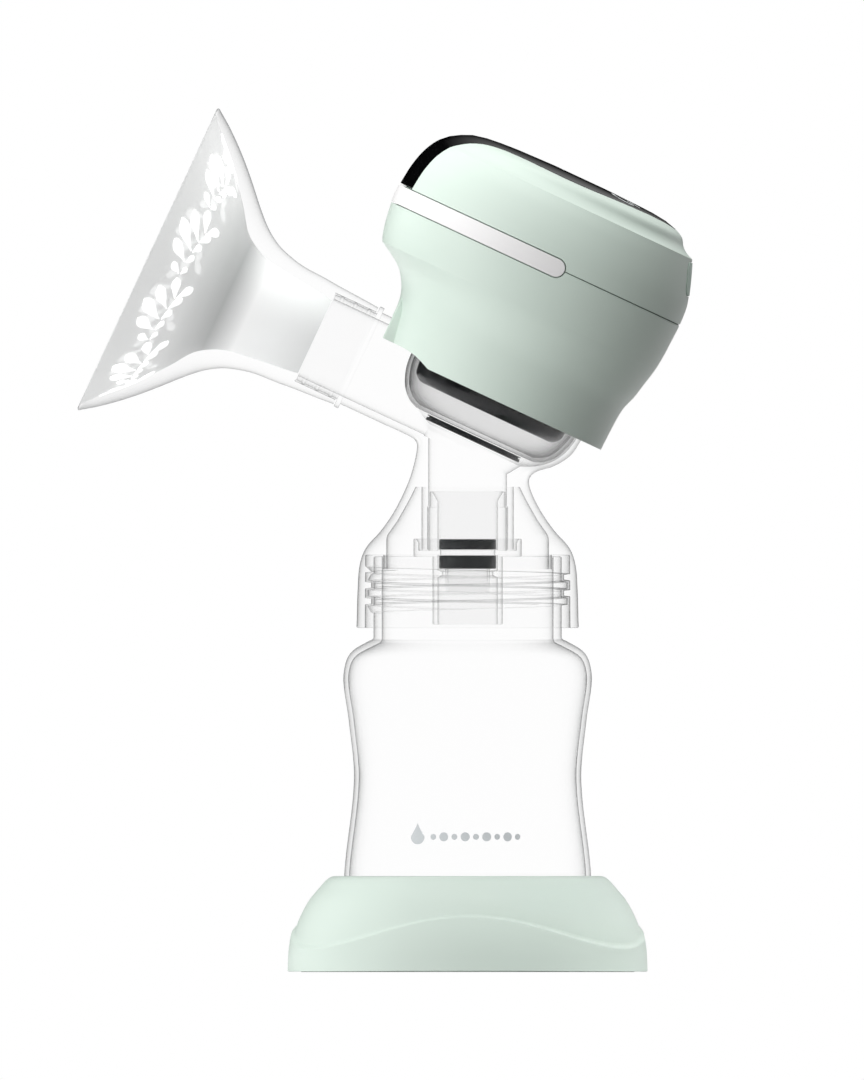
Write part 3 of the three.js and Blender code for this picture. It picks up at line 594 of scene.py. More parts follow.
for bore in (bell_inside, channel, arm_bore, cup_bore):
    combined(tee, bore, "DIFFERENCE")
combined(tee, screw_ridge("tee_thread", 26.0, 24.1, 1.8, 1.3, 90.7, 0.125, 2.625), "UNION")
smoothed(tee)
clear_tee = clear_moulding("clear_polypropylene", "#66696B", 0.005, 7, 0.95)
wear(tee, clear_tee)
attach(tee, "tee")
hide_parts("tee_body")

# ------------------------------------------------------------------ valve body
# A clear sleeve that plugs into the drop tube, with a drip dish round it and a guard tube below.
# It is moulded in one piece and held by its own taper.

valve = turned(
    "valve_sleeve",
    [
        (7.5, 86.9), (8.75, 86.9, 0.3), (8.75, 103.85), (13.3, 103.85), (13.5, 104.1), (13.5, 108.3, 0.25),
        (12.9, 108.3, 0.2), (12.3, 107.2), (12.3, 105.3, 0.3), (9.75, 105.3), (9.75, 116), (9.45, 116.3),
        (9.45, 120.1, 0.3), (8.9, 120.1, 0.2), (7.5, 117.7), (7.5, 105.5), (6.9, 105.5), (6.9, 104.3),
        (7.5, 104.3), (7.5, 100.4), (6.4, 100), (6.4, 99.2), (7.5, 98.6),
    ],
    ring=True, steps=96,
)
smoothed(valve)
wear(valve, clear_moulding("clear_valve_plastic", "#707375", 0.02, 7))
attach(valve, "valve")
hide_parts("valve_body")

# ------------------------------------------------------------------ valve core
# Two dark silicone rings seal the sleeve above and below its web. The lower one ends in a
# duckbill of thin lips, which lets milk down and no air up. Both are pressed in.

COLLAR = 7.1
BILL_TOP = 101.2
BILL_DROP = 6.2

core = turned(
    "duckbill_collar",
    [(5.2, 105.6, 0.2), (COLLAR, 105.6, 0.2), (COLLAR, 108.2, 0.3), (5.2, 108.2, 0.3)],
    ring=True, steps=64,
)
root = turned(
    "duckbill_root",
    [(4.9, 100.8, 0.2), (COLLAR, 100.8, 0.3), (COLLAR, 104.15, 0.2), (4.9, 104.15, 0.2)],
    ring=True, steps=64,
)
lips = []
for level in range(9):
    drop = level / 8
    height = BILL_TOP - BILL_DROP * drop
    wide = 5.6 * (1 - drop) ** 0.8 + 0.7 * drop
    long = 5.6 - 0.2 * drop
    turns = [TAU * k / 48 for k in range(49)]
    lips.append([Vector((long * math.cos(turn), wide * math.sin(turn), height)) * MM for turn in turns])
duckbill = patch("duckbill", lips, (0, 0, 98 * MM), 0.5)


# Silicone with a satin surface: a soft even sheen that a slight bloom dulls in places, and no
# grain to see. The valve's rings are charcoal, and the sprigs are white.
def satin_silicone(name, code, roughness):
    material, tree = blank(name)
    bloom = grained(tree, 4)
    coated(
        tree, {"Base Color": linear(code), "IOR": 1.41},
        {
            "Roughness": varied(tree, bloom, roughness - 0.06, roughness + 0.08),
            "Normal": embossed(tree, bloom, 0.08, 0.05),
        },
    )
    return material


charcoal_silicone = satin_silicone("charcoal_silicone", "#2B2D2E", 0.35)
wear(core, charcoal_silicone)
wear(root, charcoal_silicone)
wear(duckbill, clear_moulding("translucent_silicone", "#8C8F90", 0.03))
gathered("duckbill_valve", [core, root, duckbill])
smoothed(core, 40)
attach(core, "valve")
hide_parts("valve_core")

# ------------------------------------------------------------------ shield
# The shield is cast in thick soft silicone: polished outside, and blasted inside, where it lies
# on the skin. Its seat stretches over the arm's ribs, and raised leaf sprigs ring the flare.

SEAT_END = SPIGOT_START + 0.3
shield_back = flowing(
    [
        (13.3, SEAT_END), (13.55, 34), (14.05, 42), (14.4, 46), (14.75, 52), (15.6, 56), (17.0, 60),
        (19.6, 64), (23.4, 68), (27.7, 72), (31.8, 76), (35.5, 80), (38.8, 84), (41.1, 87.2),
    ]
)
shield_front = flowing(
    [
        (39.2, 87.4), (35.3, 84), (31.3, 80), (26.8, 76), (21.9, 72), (16.4, 68), (13.7, 64), (12.3, 60),
        (11.7, 56), (11.2, 52), (10.6, 46), (10.1, SPIGOT_END + 0.3),
    ]
)
shield = turned(
    "breast_shield_flare",
    [
        *shield_back, (41.72, 88.0, 0.4), (41.15, 88.45, 0.35), (40.2, 88.2, 0.35), *shield_front,
        (12.2, SPIGOT_END + 0.3), (12.2, SEAT_END),
    ],
    arm, ring=True, steps=160,
)
smoothed(shield, 40)
clear_silicone = clear_moulding("clear_liquid_silicone", "#55585A", 0.008, 8, 0.95, 0.25)

# Silicone blasted inside the flare, frosted grey. Its colour carries painted light along the arm: a white
# painted highlight band inside the throat, a grey band of painted shade where the throat opens into the
# flare, and a weak glow.
frosted, tree = blank("frosted_silicone_painted_shade_and_glow")
place = add_node(tree, "TexCoord")
arm_way_out = arm.col[2].xyz
along = add_node(
    tree, "VectorMath", {"operation": "DOT_PRODUCT", 1: arm_way_out}, {0: place.outputs["Object"]}
)
start = arm.translation.dot(arm_way_out)
depth = add_node(
    tree, "MapRange", {"From Min": start + 42 * MM, "From Max": start + 88 * MM},
    {"Value": along.outputs["Value"]},
)
painted_shade_ramp = add_node(tree, "ValToRGB", {}, {"Fac": depth.outputs["Result"]})
painted_shade_ramp.color_ramp.elements[0].position = 0.0
painted_shade_ramp.color_ramp.elements[0].color = linear("#DCDDDD")
painted_shade_ramp.color_ramp.elements[1].position = 1.0
painted_shade_ramp.color_ramp.elements[1].color = linear("#FDFDFD")
# The white stop is a painted highlight band, and the dark grey stop is painted shade where the throat opens.
for position, code in ((0.2, "#F2F3F3"), (0.38, "#FFFFFF"), (0.53, "#9A9C9C"), (0.72, "#F0F0F0")):
    painted_shade_ramp.color_ramp.elements.new(position).color = linear(code)
through = add_node(tree, "BsdfTransparent", {"Color": linear("#FFFFFF")})
# The emission is a painted glow that lightens the frosted grey in place of the light the silicone scatters.
blasted_with_painted_glow = add_node(
    tree, "BsdfPrincipled",
    {"Roughness": 0.5, "IOR": 1.41, "Emission Color": linear("#FFFFFF"), "Emission Strength": 0.19},
    {"Base Color": painted_shade_ramp.outputs["Color"], "Normal": embossed(tree, grained(tree, 0.4, 3), 0.15, 0.03)},
)
layered(tree, 0.8, through, blasted_with_painted_glow)
wear(shield, clear_silicone, frosted)
from_arm = arm.inverted()
for face in shield.data.polygons:
    centre = from_arm @ face.center / MM
    normal = from_arm.to_3x3() @ face.normal
    towards_axis = normal.x * centre.x + normal.y * centre.y < 0
    if towards_axis and centre.z > SPIGOT_END + 0.5:
        face.material_index = 1
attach(shield, "shield")
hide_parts("breast_shield")

# ------------------------------------------------------------------ leaf sprigs
# Ten sprigs of teardrop leaves stand up from the inside of the flare in white silicone. They
# are moulded with it and massage the skin.

SPRIG_COUNT = 10
SPRIG_MIDDLE = 78.6
SPRIG_LEAN = -0.24
SPRIG_STEP = 3.1
RIM_LEAVES = [(3.8, 1.8, 1.15), (7.2, 2.6, 1.12), (9.0, 3.0, 1.02), (7.6, 2.8, 0.85), (5.6, 2.6, 0.4)]
THROAT_LEAVES = [
    (2.4, 1.3, -0.6), (2.9, 1.5, -0.62), (3.4, 1.7, -0.65), (4.6, 2.0, -0.68), (5.6, 2.3, -0.75),
]
LEAF_THICK = 0.42
LEAF_ROOT = 0.36
flare_line = shield_front[::-1]


def on_flare(turn, side, out):
    """The point on the flare's inside, a way round from a turn and further out from the middle ring."""
    distance = SPRIG_MIDDLE + out * 0.72
    radius = radius_at(flare_line, distance) + LEAF_ROOT
    angle = turn + side / radius_at(flare_line, SPRIG_MIDDLE)
    return arm @ (Vector((radius * math.cos(angle), radius * math.sin(angle), distance)) * MM)


def leaf(turn, root, heading, length, width):
    """A teardrop leaf, from its root, along a heading, laid on the inside of the flare."""
    ahead = Vector((math.cos(heading), math.sin(heading)))
    aside = Vector((-ahead.y, ahead.x))
    rows = []
    for i in range(9):
        t = i / 8
        half = width / 2 * math.sin(math.pi * t**1.9) ** 0.8 if 0 < t < 1 else 0
        spine = Vector(root) + ahead * (length * t)
        rows.append([on_flare(turn, *(spine + aside * (half * s))) for s in (-1, 0, 1)])
    return rows


leaves = []
flare_centre = arm @ Vector((0, 0, SPRIG_MIDDLE * MM))
for i in range(SPRIG_COUNT):
    turn = math.radians(-39) - TAU * i / SPRIG_COUNT
    for k in range(5):
        along = (k - 2.6) * SPRIG_STEP
        root = (along, SPRIG_LEAN * along * (1 + 0.06 * along))
        for (length, width, heading), gap in ((RIM_LEAVES[k], 0.3), (THROAT_LEAVES[k], -0.3)):
            spot = (root[0] + 0.3, root[1] + gap)
            leaves.append(patch("leaf", leaf(turn, spot, heading, length, width), flare_centre, LEAF_THICK))
sprigs = smoothed(gathered("leaf_sprigs", leaves))
white_silicone_painted_glow = satin_silicone("white_silicone_painted_glow", "#FDFDFD", 0.45)
# The sprigs' white silicone carries a strong painted glow, so that they show solid white through the frosted
# layer.
painted_glow_shader = next(node for node in white_silicone_painted_glow.node_tree.nodes if node.type == "BSDF_PRINCIPLED")
painted_glow_shader.inputs["Emission Color"].default_value = linear("#FFFFFF")
painted_glow_shader.inputs["Emission Strength"].default_value = 0.9
wear(sprigs, white_silicone_painted_glow)
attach(sprigs, "shield")

# ------------------------------------------------------------------ diaphragm bowl
# The bowl is smoke-tinted silicone, thin enough to flex. Its rim lies on the tee's cup under
# the motor unit, and its floor rises with the plate below it at each stroke.

BOWL_RIM = CUP_TOP + 0.3
BOWL_TOP = BOWL_RIM + 1.4

bowl = turned(
    "diaphragm_cup",
    [
        (0, -5.4), (14.5, -5.4),
        *flowing([(16.2, -5.3), (18.6, -4.2), (21, -1.6), (22.5, 2), (23, 5), (23, 8)], 0.8),
        (23, BOWL_RIM, 0.4), (25.1, BOWL_RIM, 0.3), (25.1, BOWL_TOP, 0.4), (22, BOWL_TOP, 0.5),
        *flowing([(22, 8), (22, 5.2), (21.5, 2.4), (20.1, -1), (18, -3.3), (15.6, -4.4)], 0.8), (0, -4.4),
    ],
    cup, steps=144,
)
smoothed(bowl)
smoke = clear_moulding("smoke_silicone", "#2A2C2E", 0.012, 3.8, 0.95, 0.1, "#F8F8F8")
wear(bowl, smoke)
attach(bowl, "tee")
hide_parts("diaphragm_bowl")
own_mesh(bowl)

# ------------------------------------------------------------------ diaphragm plate
# A stiff disc of dark glass-filled nylon, moulded with two ring grooves. It snaps on below the
# bowl's floor and keeps it flat as it moves.

plate = turned(
    "diaphragm_stiffener",
    [
        (0, -7.0), (4, -7.0), (4.3, -6.6), (5.3, -6.6), (5.6, -7.0), (8, -7.0), (8.3, -6.6), (9.3, -6.6),
        (9.6, -7.0), (12.8, -7.0, 0.1), (12.8, -6.2, 0.1), (12.3, -6.2), (12.3, -5.85), (12.8, -5.85),
        (12.8, -5.6), (0, -5.6),
    ],
    cup, steps=96,
)
smoothed(plate)
charcoal = satin_abs("charcoal_glass_filled_nylon", "#2B2D2F", "#26282A", 0.42, 0.4)
wear(plate, charcoal)
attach(plate, "diaphragm")
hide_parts("diaphragm_plate")

# ------------------------------------------------------------------ plug
# The charcoal plug closes the motor unit underneath and fills the bowl, so that the pump has
# little air to move. Three screws hold its flange, and two stubs take the air tubes.

STUB = 1.7
STUB_BORE = 0.9
SCREW_CIRCLE = 24.8
SCREW_HOLE = 1.25

plug = turned(
    "motor_unit_plug",
    [
        (0, 0.9), (18.2, 0.9, 0.9), (20, 2.6, 0.9), (20.9, 10, 1), (20.9, 16.9), (26.8, 16.9, 0.3),
        (26.8, 18.4, 0.3), (18.6, 18.4), (18.2, 3), (0, 3),
    ],
    cup, steps=128,
)
for place_along in (0, -10):
    spot = cup @ Matrix.Translation((place_along * MM, 0, 0))
    stub = turned("stub", [(0, 2), (STUB, 2), (STUB, 9.6, 0.3), (0, 9.6)], spot, steps=32)
    combined(plug, stub, "UNION")
    port = turned("port", [(0, 0), (STUB_BORE, 0), (STUB_BORE, 11), (0, 11)], spot, steps=24)
    combined(plug, port, "DIFFERENCE")
for degrees in (30, 150, 270):
    turn = math.radians(degrees)
    spot = cup @ Matrix.Translation(Vector((math.cos(turn), math.sin(turn), 0)) * (SCREW_CIRCLE * MM))
    hole = turned("hole", [(0, 14), (SCREW_HOLE, 14), (SCREW_HOLE, 20), (0, 20)], spot, steps=24)
    combined(plug, hole, "DIFFERENCE")
smoothed(plug)
wear(plug, satin_abs("charcoal_abs", "#1B1C1E", "#17181A", 0.25, 0.6))
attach(plug, "motor_unit")
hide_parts("nozzle_plate")

# ------------------------------------------------------------------ motor unit body
# Both casings are cut from one smooth body, oval from above, that leans back with the head. Its
# nose juts over the arm, and a soft corner runs round the top.

SEAM = 41.1
SKIRT_BOTTOM = 4.6
CASING_WALL = 2.2
NOSE_CREASE = 28.7
TOP_CORNER = 57.4
NOSE = [
    [
        (4.0, -26.0), (10, -26.8), (16, -26.8), (20, -27.6), (24, -30.0), (26, -32.3), (27.6, -35.0),
        (28.7, -36.9),
    ],
    [
        (28.7, -36.9), (30, -37.45), (32, -38.0), (36, -38.7), (41.1, -39.15), (46, -38.8), (50, -38.2),
        (54, -37.0), (57.4, -35.1), (60, -32.4), (62, -28.6), (63, -25.3), (63.8, -17), (64.15, -6),
    ],
]
TAIL = [
    [
        (4.0, 34.6), (10, 34.8), (16, 35.3), (20, 36.6), (24, 37.5), (28, 38.4), (32, 38.9), (36, 39.1),
        (41.1, 39.3), (46, 39.0), (50, 37.9), (54, 36.5), (57.4, 35.2),
    ],
    [
        (57.4, 35.2), (57.9, 33.9), (58.7, 32.6), (59.6, 31.7), (60.6, 31.1), (61.4, 30.4), (62.2, 28.9),
        (63, 26.6), (63.8, 21), (64.15, 8),
    ],
]
FLANK = [
    [
        (4.0, 30.0), (13, 30.6), (18, 31.0), (24, 32.6), (28.3, 34.4), (32, 35.3), (36, 35.9), (41.1, 36.2),
        (48, 35.7), (54, 34.0), (57.4, 32.2),
    ],
    [
        (57.4, 32.2), (57.9, 31.0), (58.7, 29.8), (59.6, 28.9), (60.6, 28.2), (61.4, 27.3), (62.2, 25.2),
        (63, 21.6), (63.8, 15), (64.15, 6),
    ],
]


def read_off(stretches, height):
    """The value at a height on smooth stretches through (height, value) points, which meet at creases."""
    curve = next((stretch for stretch in stretches if height <= stretch[-1][0]), stretches[-1])
    i = max(k for k, (low, _) in enumerate(curve[:-1]) if low <= height or k == 0)
    (h0, v0), (h1, v1) = curve[i], curve[i + 1]
    slopes = []
    for k in (i, i + 1):
        before, after = curve[max(k - 1, 0)], curve[min(k + 1, len(curve) - 1)]
        slopes.append((after[1] - before[1]) / (after[0] - before[0]))
    span = h1 - h0
    t = (height - h0) / span
    return (
        v0 * (2 * t**3 - 3 * t**2 + 1)
        + slopes[0] * span * (t**3 - 2 * t**2 + t)
        + v1 * (3 * t**2 - 2 * t**3)
        + slopes[1] * span * (t**3 - t**2)
    )


def oval(height):
    """The body's middle, half length and half width at a height."""
    front = read_off(NOSE, height)
    rear = read_off(TAIL, height)
    return (front + rear) / 2, (rear - front) / 2, read_off(FLANK, height)


def body_solid(name, heights, inset=lambda height: 0, drop=lambda height: 0, steps=128):
    """A ring extruded up from height to height, moved and scaled to the body's oval, and capped."""
    middle, long, wide = oval(heights[0])
    piece = started(name, bpy.ops.mesh.primitive_circle_add, vertices=steps, radius=MM, fill_type="NGON")
    bpy.ops.object.mode_set(mode="EDIT")
    size = (long - inset(heights[0]), wide - inset(heights[0]))
    bpy.ops.transform.resize(value=(size[0], size[1], 1), center_override=(0, 0, 0))
    level = heights[0] - drop(heights[0])
    bpy.ops.transform.translate(value=Vector((middle, 0, level)) * MM)
    for height in heights[1:]:
        new_middle, long, wide = oval(height)
        new_size = (long - inset(height), wide - inset(height))
        new_level = height - drop(height)
        step = Vector((new_middle - middle, 0, new_level - level)) * MM
        bpy.ops.mesh.extrude_region_move(TRANSFORM_OT_translate={"value": step})
        bpy.ops.transform.resize(
            value=(new_size[0] / size[0], new_size[1] / size[1], 1),
            center_override=Vector((new_middle, 0, new_level)) * MM,
        )
        middle, size, level = new_middle, new_size, new_level
    turn_outward()
    piece.data.transform(head)
    return piece


def climb(low, high, step):
    """Heights from low to high, about a step apart."""
    count = max(1, round((high - low) / step))
    return [low + (high - low) * k / count for k in range(count + 1)]


CREASE_STEPS = (-0.35, -0.1, 0, 0.1, 0.35)
BELOW_CREASE = climb(SKIRT_BOTTOM, NOSE_CREASE - 0.8, 0.8) + [NOSE_CREASE + step for step in CREASE_STEPS]
TOP_LEVELS = [TOP_CORNER + step for step in CREASE_STEPS] + climb(58.1, 63.6, 0.35) + [63.85, 64.05, 64.15]
UPPER_LEVELS = climb(SEAM + 0.3, 56.7, 0.9) + TOP_LEVELS
body = body_solid("whole_body", BELOW_CREASE + climb(29.6, 56.7, 0.9) + TOP_LEVELS)


def on_body(centre, direction, out=0.0):
    """Where a ray from inside the body meets its skin, in the head's frame, then set outwards."""
    start = head @ (Vector(centre) * MM)
    ray = (head.to_3x3() @ Vector(direction)).normalized()
    hit, spot, normal, _ = body.ray_cast(start, ray)
    if not hit:
        raise ValueError(f"the ray from {centre} along {direction} misses the body")
    if normal.dot(ray) < 0:
        normal = -normal
    return spot + normal * (out * MM)


# ------------------------------------------------------------------ touch panel
# A sheet of hard-coated black acrylic, formed to the body, that runs from the band up the nose
# and widens to an oval on top. It is glued into a recess, level with the casing round it.

PANEL_START = 43.95
PANEL_REACH = 28.6
PANEL_THICK = 1.4
PANEL_TURN = 58
PANEL_SIDES = [
    (-40, 14.2), (-33, 14.4), (-27, 16.2), (-20, 19.8), (-11, 23.2), (0, 24.5), (11, 22.6), (20, 17.4),
    (25.4, 11),
]


def panel_half(u):
    """The panel's half width at a place along the head."""
    if u < PANEL_SIDES[-1][0]:
        return read_off([PANEL_SIDES], max(u, -40))
    left = max(0, (PANEL_REACH - u) / (PANEL_REACH - PANEL_SIDES[-1][0]))
    return PANEL_SIDES[-1][1] * math.sqrt(left)


def panel_rows(margin, out=0.0):
    """Rows of points over the body's skin from the panel's foot to its rear tip."""
    foot = PANEL_START - margin
    stations = []
    for height in climb(foot, PANEL_TURN, 0.9):
        stations.append(((0, 0, height), (-1, 0, 0)))
    for k in range(1, 60):
        turn = math.radians(180 - 180 * k / 60)
        stations.append(((0, 0, PANEL_TURN), (math.cos(turn), 0, math.sin(turn))))
    rows = []
    for centre, direction in stations:
        middle = on_body(centre, direction)
        u = (head.inverted() @ middle).x / MM
        if u > PANEL_REACH + margin - 0.05:
            break
        half = panel_half(u - (margin if u > 20 else 0)) + margin
        sides = [half * s for s in climb(-1, 1, 1 / 12)]
        rows.append([on_body((centre[0], side, centre[2]), direction, out) for side in sides])
    return rows


def bevelled(piece, width):
    """Rounds the piece's sharp edges."""
    limit = math.radians(50)
    return modified(piece, "BEVEL", width=width * MM, segments=3, limit_method="ANGLE", angle_limit=limit)


inside_head = head @ Vector((0, 0, 38 * MM))
panel = bevelled(patch("touch_panel_sheet", panel_rows(0), inside_head, PANEL_THICK), 0.3)
smoothed(panel)

# Hard-coated acrylic, black behind: a mirror-smooth face that reflects the room sharply, with the
# faintest haze of fine wiping marks.
gloss_black, tree = blank("black_hard_coated_acrylic")
coated(
    tree, {"Base Color": linear("#050506"), "IOR": 1.49},
    {"Roughness": varied(tree, grained(tree, 18, 4), 0.04, 0.11)},
)
wear(panel, gloss_black)
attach(panel, "motor_unit")
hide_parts("touch_panel")

# ------------------------------------------------------------------ trim band
# A white ABS band, snapped into a groove over the seam. It wraps the nose and ends in a half
# round on each flank.

BAND_HALF = 2.65
BAND_END = 5.15


def band_rows(margin, out=0.0):
    """Rows up the band's height, each running round the nose from flank to flank."""
    half = BAND_HALF + margin
    ends = [BAND_END + half * math.sin(math.pi / 2 * k / 8) for k in range(8, -1, -1)]
    middle, long, _ = oval(SEAM)
    columns = []
    for u in ends:
        reach = min(1, max(0, (u - BAND_END) / half))
        columns.append((math.acos((u - middle) / long), half * math.sqrt(1 - reach * reach)))
    start = columns[-1][0]
    columns += [(turn, half) for turn in climb(start + 0.04, math.pi, 0.04)]
    columns += [(TAU - turn, size) for turn, size in reversed(columns[:-1])]
    rows = []
    for s in climb(-1, 1, 0.25):
        row = []
        for turn, size in columns:
            height = SEAM + size * s
            middle, long, wide = oval(height)
            point = Vector((middle + long * math.cos(turn), wide * math.sin(turn), height))
            outward = Vector((math.cos(turn) / long, math.sin(turn) / wide, 0)).normalized()
            row.append(head @ ((point + outward * out) * MM))
        rows.append(row)
    return rows


def band_groove():
    """A cutter for the groove that the band sits in."""
    return patch("band_groove", band_rows(0, 1.5), inside_head, 2.9)


band = bevelled(patch("white_trim_band", band_rows(-0.38, 0.12), inside_head, 1.1), 0.3)
smoothed(band)
white_abs = satin_abs("white_satin_abs", "#F1F0F0", "#EEEDED", 0.34)
wear(band, white_abs)
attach(band, "motor_unit")
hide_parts("trim_band")

# ------------------------------------------------------------------ lower casing
# The lower casing is a mint ABS shell: an oval tub with a shelf, and a skirt below it that slips
# over the cup. The skirt steps up at the front, where an arch clears the arm.

SHELF = (15.0, 16.6)
SKIRT_BORE = 28.0
SEAM_GAP = 0.1


def prism(name, outline, width, place):
    """An outline of (length, height) drawn vertex by vertex, filled and extruded across the width."""
    piece = drawn(name, [Vector((point[0], width / 2, point[1])) * MM for point in outline])
    bpy.ops.mesh.edge_face_add()
    bpy.ops.mesh.extrude_region_move(TRANSFORM_OT_translate={"value": Vector((0, -width, 0)) * MM})
    turn_outward()
    piece.data.transform(place)
    return piece


def seam_inset(height):
    """The small chamfer along the seam."""
    return 0.25 if abs(height - SEAM) < 0.15 else 0


LOWER_LEVELS = BELOW_CREASE + climb(29.6, 40.5, 0.9) + [40.8, SEAM - SEAM_GAP]
lower = body_solid("lower_shell", LOWER_LEVELS, seam_inset)
tub = body_solid("tub", climb(SHELF[1], 42.6, 0.9), lambda height: CASING_WALL)
hood_place = head @ Matrix.Translation((0, 0, 6.8 * MM)) @ Matrix.Rotation(-math.pi / 2, 4, "Y")
hood = turned("hood", [(0, 17), (12.6, 17), (12.6, 26.7, 0.5), (0, 26.7)], hood_place, steps=96)
arm_way = turned("arm_way", [(0, 15), (ARM + 0.6, 15), (ARM + 0.6, 45), (0, 45)], arm)
skirt_outline = [(0, -5), (SKIRT_BORE, -5), (SKIRT_BORE, SHELF[0], 0.8), (0, SHELF[0])]
skirt_bore = turned("skirt_bore", skirt_outline, cup)
plug_hole = turned("plug_hole", [(0, 14), (21.3, 14), (21.3, 18), (0, 18)], cup)
front_cut = prism(
    "front_cut",
    [
        (-45, -3), (-11.6, -3), (-11.6, 2),
        *flowing([(-12.4, 4.2), (-14.5, 5.2), (-17.5, 6.3), (-20.5, 6.8), (-24, 6.9)], 0.6), (-45, 6.9),
    ],
    90, head,
)
combined(lower, hood, "UNION")
for cutter in (tub, skirt_bore, plug_hole, front_cut, arm_way):
    combined(lower, cutter, "DIFFERENCE")
combined(lower, band_groove(), "DIFFERENCE")
smoothed(lower, 26)
mint = satin_abs("mint_satin_abs", "#D8E6DC", "#D3E2D8", 0.36)
wear(lower, mint)
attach(lower, "motor_unit")
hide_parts("lower_casing")

# ------------------------------------------------------------------ upper casing
# The upper casing is a second mint ABS shell, which closes the tub and carries the touch panel
# in a shallow recess. A port for the charging lead opens through its tail.

PORT_HEIGHT = 52.6
PORT_HALF = 2.7


def lid_share(height):
    """How far the lid has turned from its flank, 0, to its top, 1."""
    return min(1, max(0, (height - 54) / 6))


def lid_wall(height):
    """The lid's wall, thicker on top, where the panel is let in."""
    return CASING_WALL + 0.9 * lid_share(height)


upper = body_solid("upper_shell", [SEAM + SEAM_GAP] + UPPER_LEVELS, seam_inset)
hollow_levels = [SEAM - 2] + UPPER_LEVELS[:-3]
lid_hollow = body_solid("lid_hollow", hollow_levels, lid_wall, lambda height: 3.2 * lid_share(height))
combined(upper, lid_hollow, "DIFFERENCE")
combined(upper, patch("panel_recess", panel_rows(0.28, 1.5), inside_head, PANEL_THICK + 1.8), "DIFFERENCE")
combined(upper, band_groove(), "DIFFERENCE")


def flap_rows(margin, out=0.0):
    """Rows up the charging port's flap on the tail of the body, with rounded corners."""
    half_width, half_height, corner = 8 + margin, 3.9 + margin, 2.6
    rows = []
    for rise in [half_height * math.sin(math.pi / 2 * k / 10) for k in range(-10, 11)]:
        over = max(0, abs(rise) - (half_height - corner))
        half = half_width - corner + math.sqrt(max(0, corner**2 - over**2))
        sides = [half * s for s in climb(-1, 1, 1 / 10)]
        rows.append([on_body((0, side, PORT_HEIGHT + rise), (1, 0, 0), out) for side in sides])
    return rows


combined(upper, patch("flap_recess", flap_rows(0.2, 1.5), inside_head, 2.7), "DIFFERENCE")
low, high = PORT_HEIGHT - PORT_HALF, PORT_HEIGHT + PORT_HALF
port_way = prism("port_way", [(28, low), (45, low), (45, high), (28, high)], 11.2, head)
combined(upper, port_way, "DIFFERENCE")
smoothed(upper, 26)
wear(upper, mint)
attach(upper, "motor_unit")
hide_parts("upper_casing")

# ------------------------------------------------------------------ seam shade ring
# A thin ring of dark rubber lies in the joint between the two casings, a little below their skin: painted
# shade, so that the joint reads as a dark line. It is cut away where the band is let in.

seam_shade_ring = body_solid("painted_seam_shade", [SEAM - SEAM_GAP, SEAM + SEAM_GAP], lambda height: 0.3)
seam_shade_hollow = body_solid("seam_shade_hollow", [SEAM - 1, SEAM, SEAM + 1], lambda height: CASING_WALL - 0.2)
combined(seam_shade_ring, seam_shade_hollow, "DIFFERENCE")
combined(seam_shade_ring, band_groove(), "DIFFERENCE")
smoothed(seam_shade_ring)
wear(seam_shade_ring, dark_rubber)
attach(seam_shade_ring, "motor_unit")

# ------------------------------------------------------------------ panel symbol
# Two switch symbols, an open ring with a bar each, and six dots for the levels, screen-printed in
# white on the acrylic's face.

SYMBOL_ALONG = 13.5
SYMBOL_ASIDE = 12.6
SYMBOL_RADIUS = 3.2


def symbol_rows(points, width):
    """Rows of a printed line through points on the top of the panel."""
    rows = []
    for i, point in enumerate(points):
        ahead = Vector(points[min(i + 1, len(points) - 1)]) - Vector(points[max(i - 1, 0)])
        aside = Vector((-ahead.y, ahead.x)).normalized() * width / 2
        across = [Vector(point) + aside * s for s in (-1, 0, 1)]
        rows.append([on_body((spot.x, spot.y, 50), (0, 0, 1), 0.03) for spot in across])
    return rows


marks = []
for aside in (-SYMBOL_ASIDE, SYMBOL_ASIDE):
    ring = [
        (SYMBOL_ALONG + SYMBOL_RADIUS * math.cos(turn), aside + SYMBOL_RADIUS * math.sin(turn))
        for turn in climb(math.radians(35), math.radians(325), 0.12)
    ]
    bar = [(SYMBOL_ALONG + along, aside) for along in climb(0.6, 4.4, 0.5)]
    marks += [patch("mark", symbol_rows(line, 0.7), inside_head, INK_THICK) for line in (ring, bar)]
for along in (2.5, -3.5):
    for aside in (-7, 0, 7):
        dot = [(along + 0.25 * k, aside) for k in (-1, 0, 1)]
        marks.append(patch("dot", symbol_rows(dot, 1.0), inside_head, INK_THICK))
symbol = smoothed(gathered("panel_symbol", marks))
wear(symbol, satin_abs("white_screen_ink", "#E9ECEC", "#E2E6E6", 0.4, 0.3))
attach(symbol, "motor_unit")

# ------------------------------------------------------------------ port cover
# A flap of mint thermoplastic rubber over the charging port, with a bung that plugs it. It hinges
# on a thin web along its lower edge.

flap = bevelled(patch("charging_port_flap", flap_rows(0, 0.15), inside_head, 0.9), 0.25)
low, high = PORT_HEIGHT - 1.3, PORT_HEIGHT + 1.2
bung = prism("bung", [(34.2, low), (36.6, low), (36.6, high), (34.2, high)], 8, head)
combined(flap, bung, "UNION")
smoothed(flap, 40)
wear(flap, satin_abs("mint_soft_rubber", "#CBDFD3", "#C6DBCF", 0.55, 0.8))
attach(flap, "port_cover")
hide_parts("port_cover")
bpy.data.objects.remove(body)

# ------------------------------------------------------------------ works
# The works inside keep their solids and get the finish of the real parts: plated steel, copper,
# solder mask, shrink wrap, and moulded plastic.


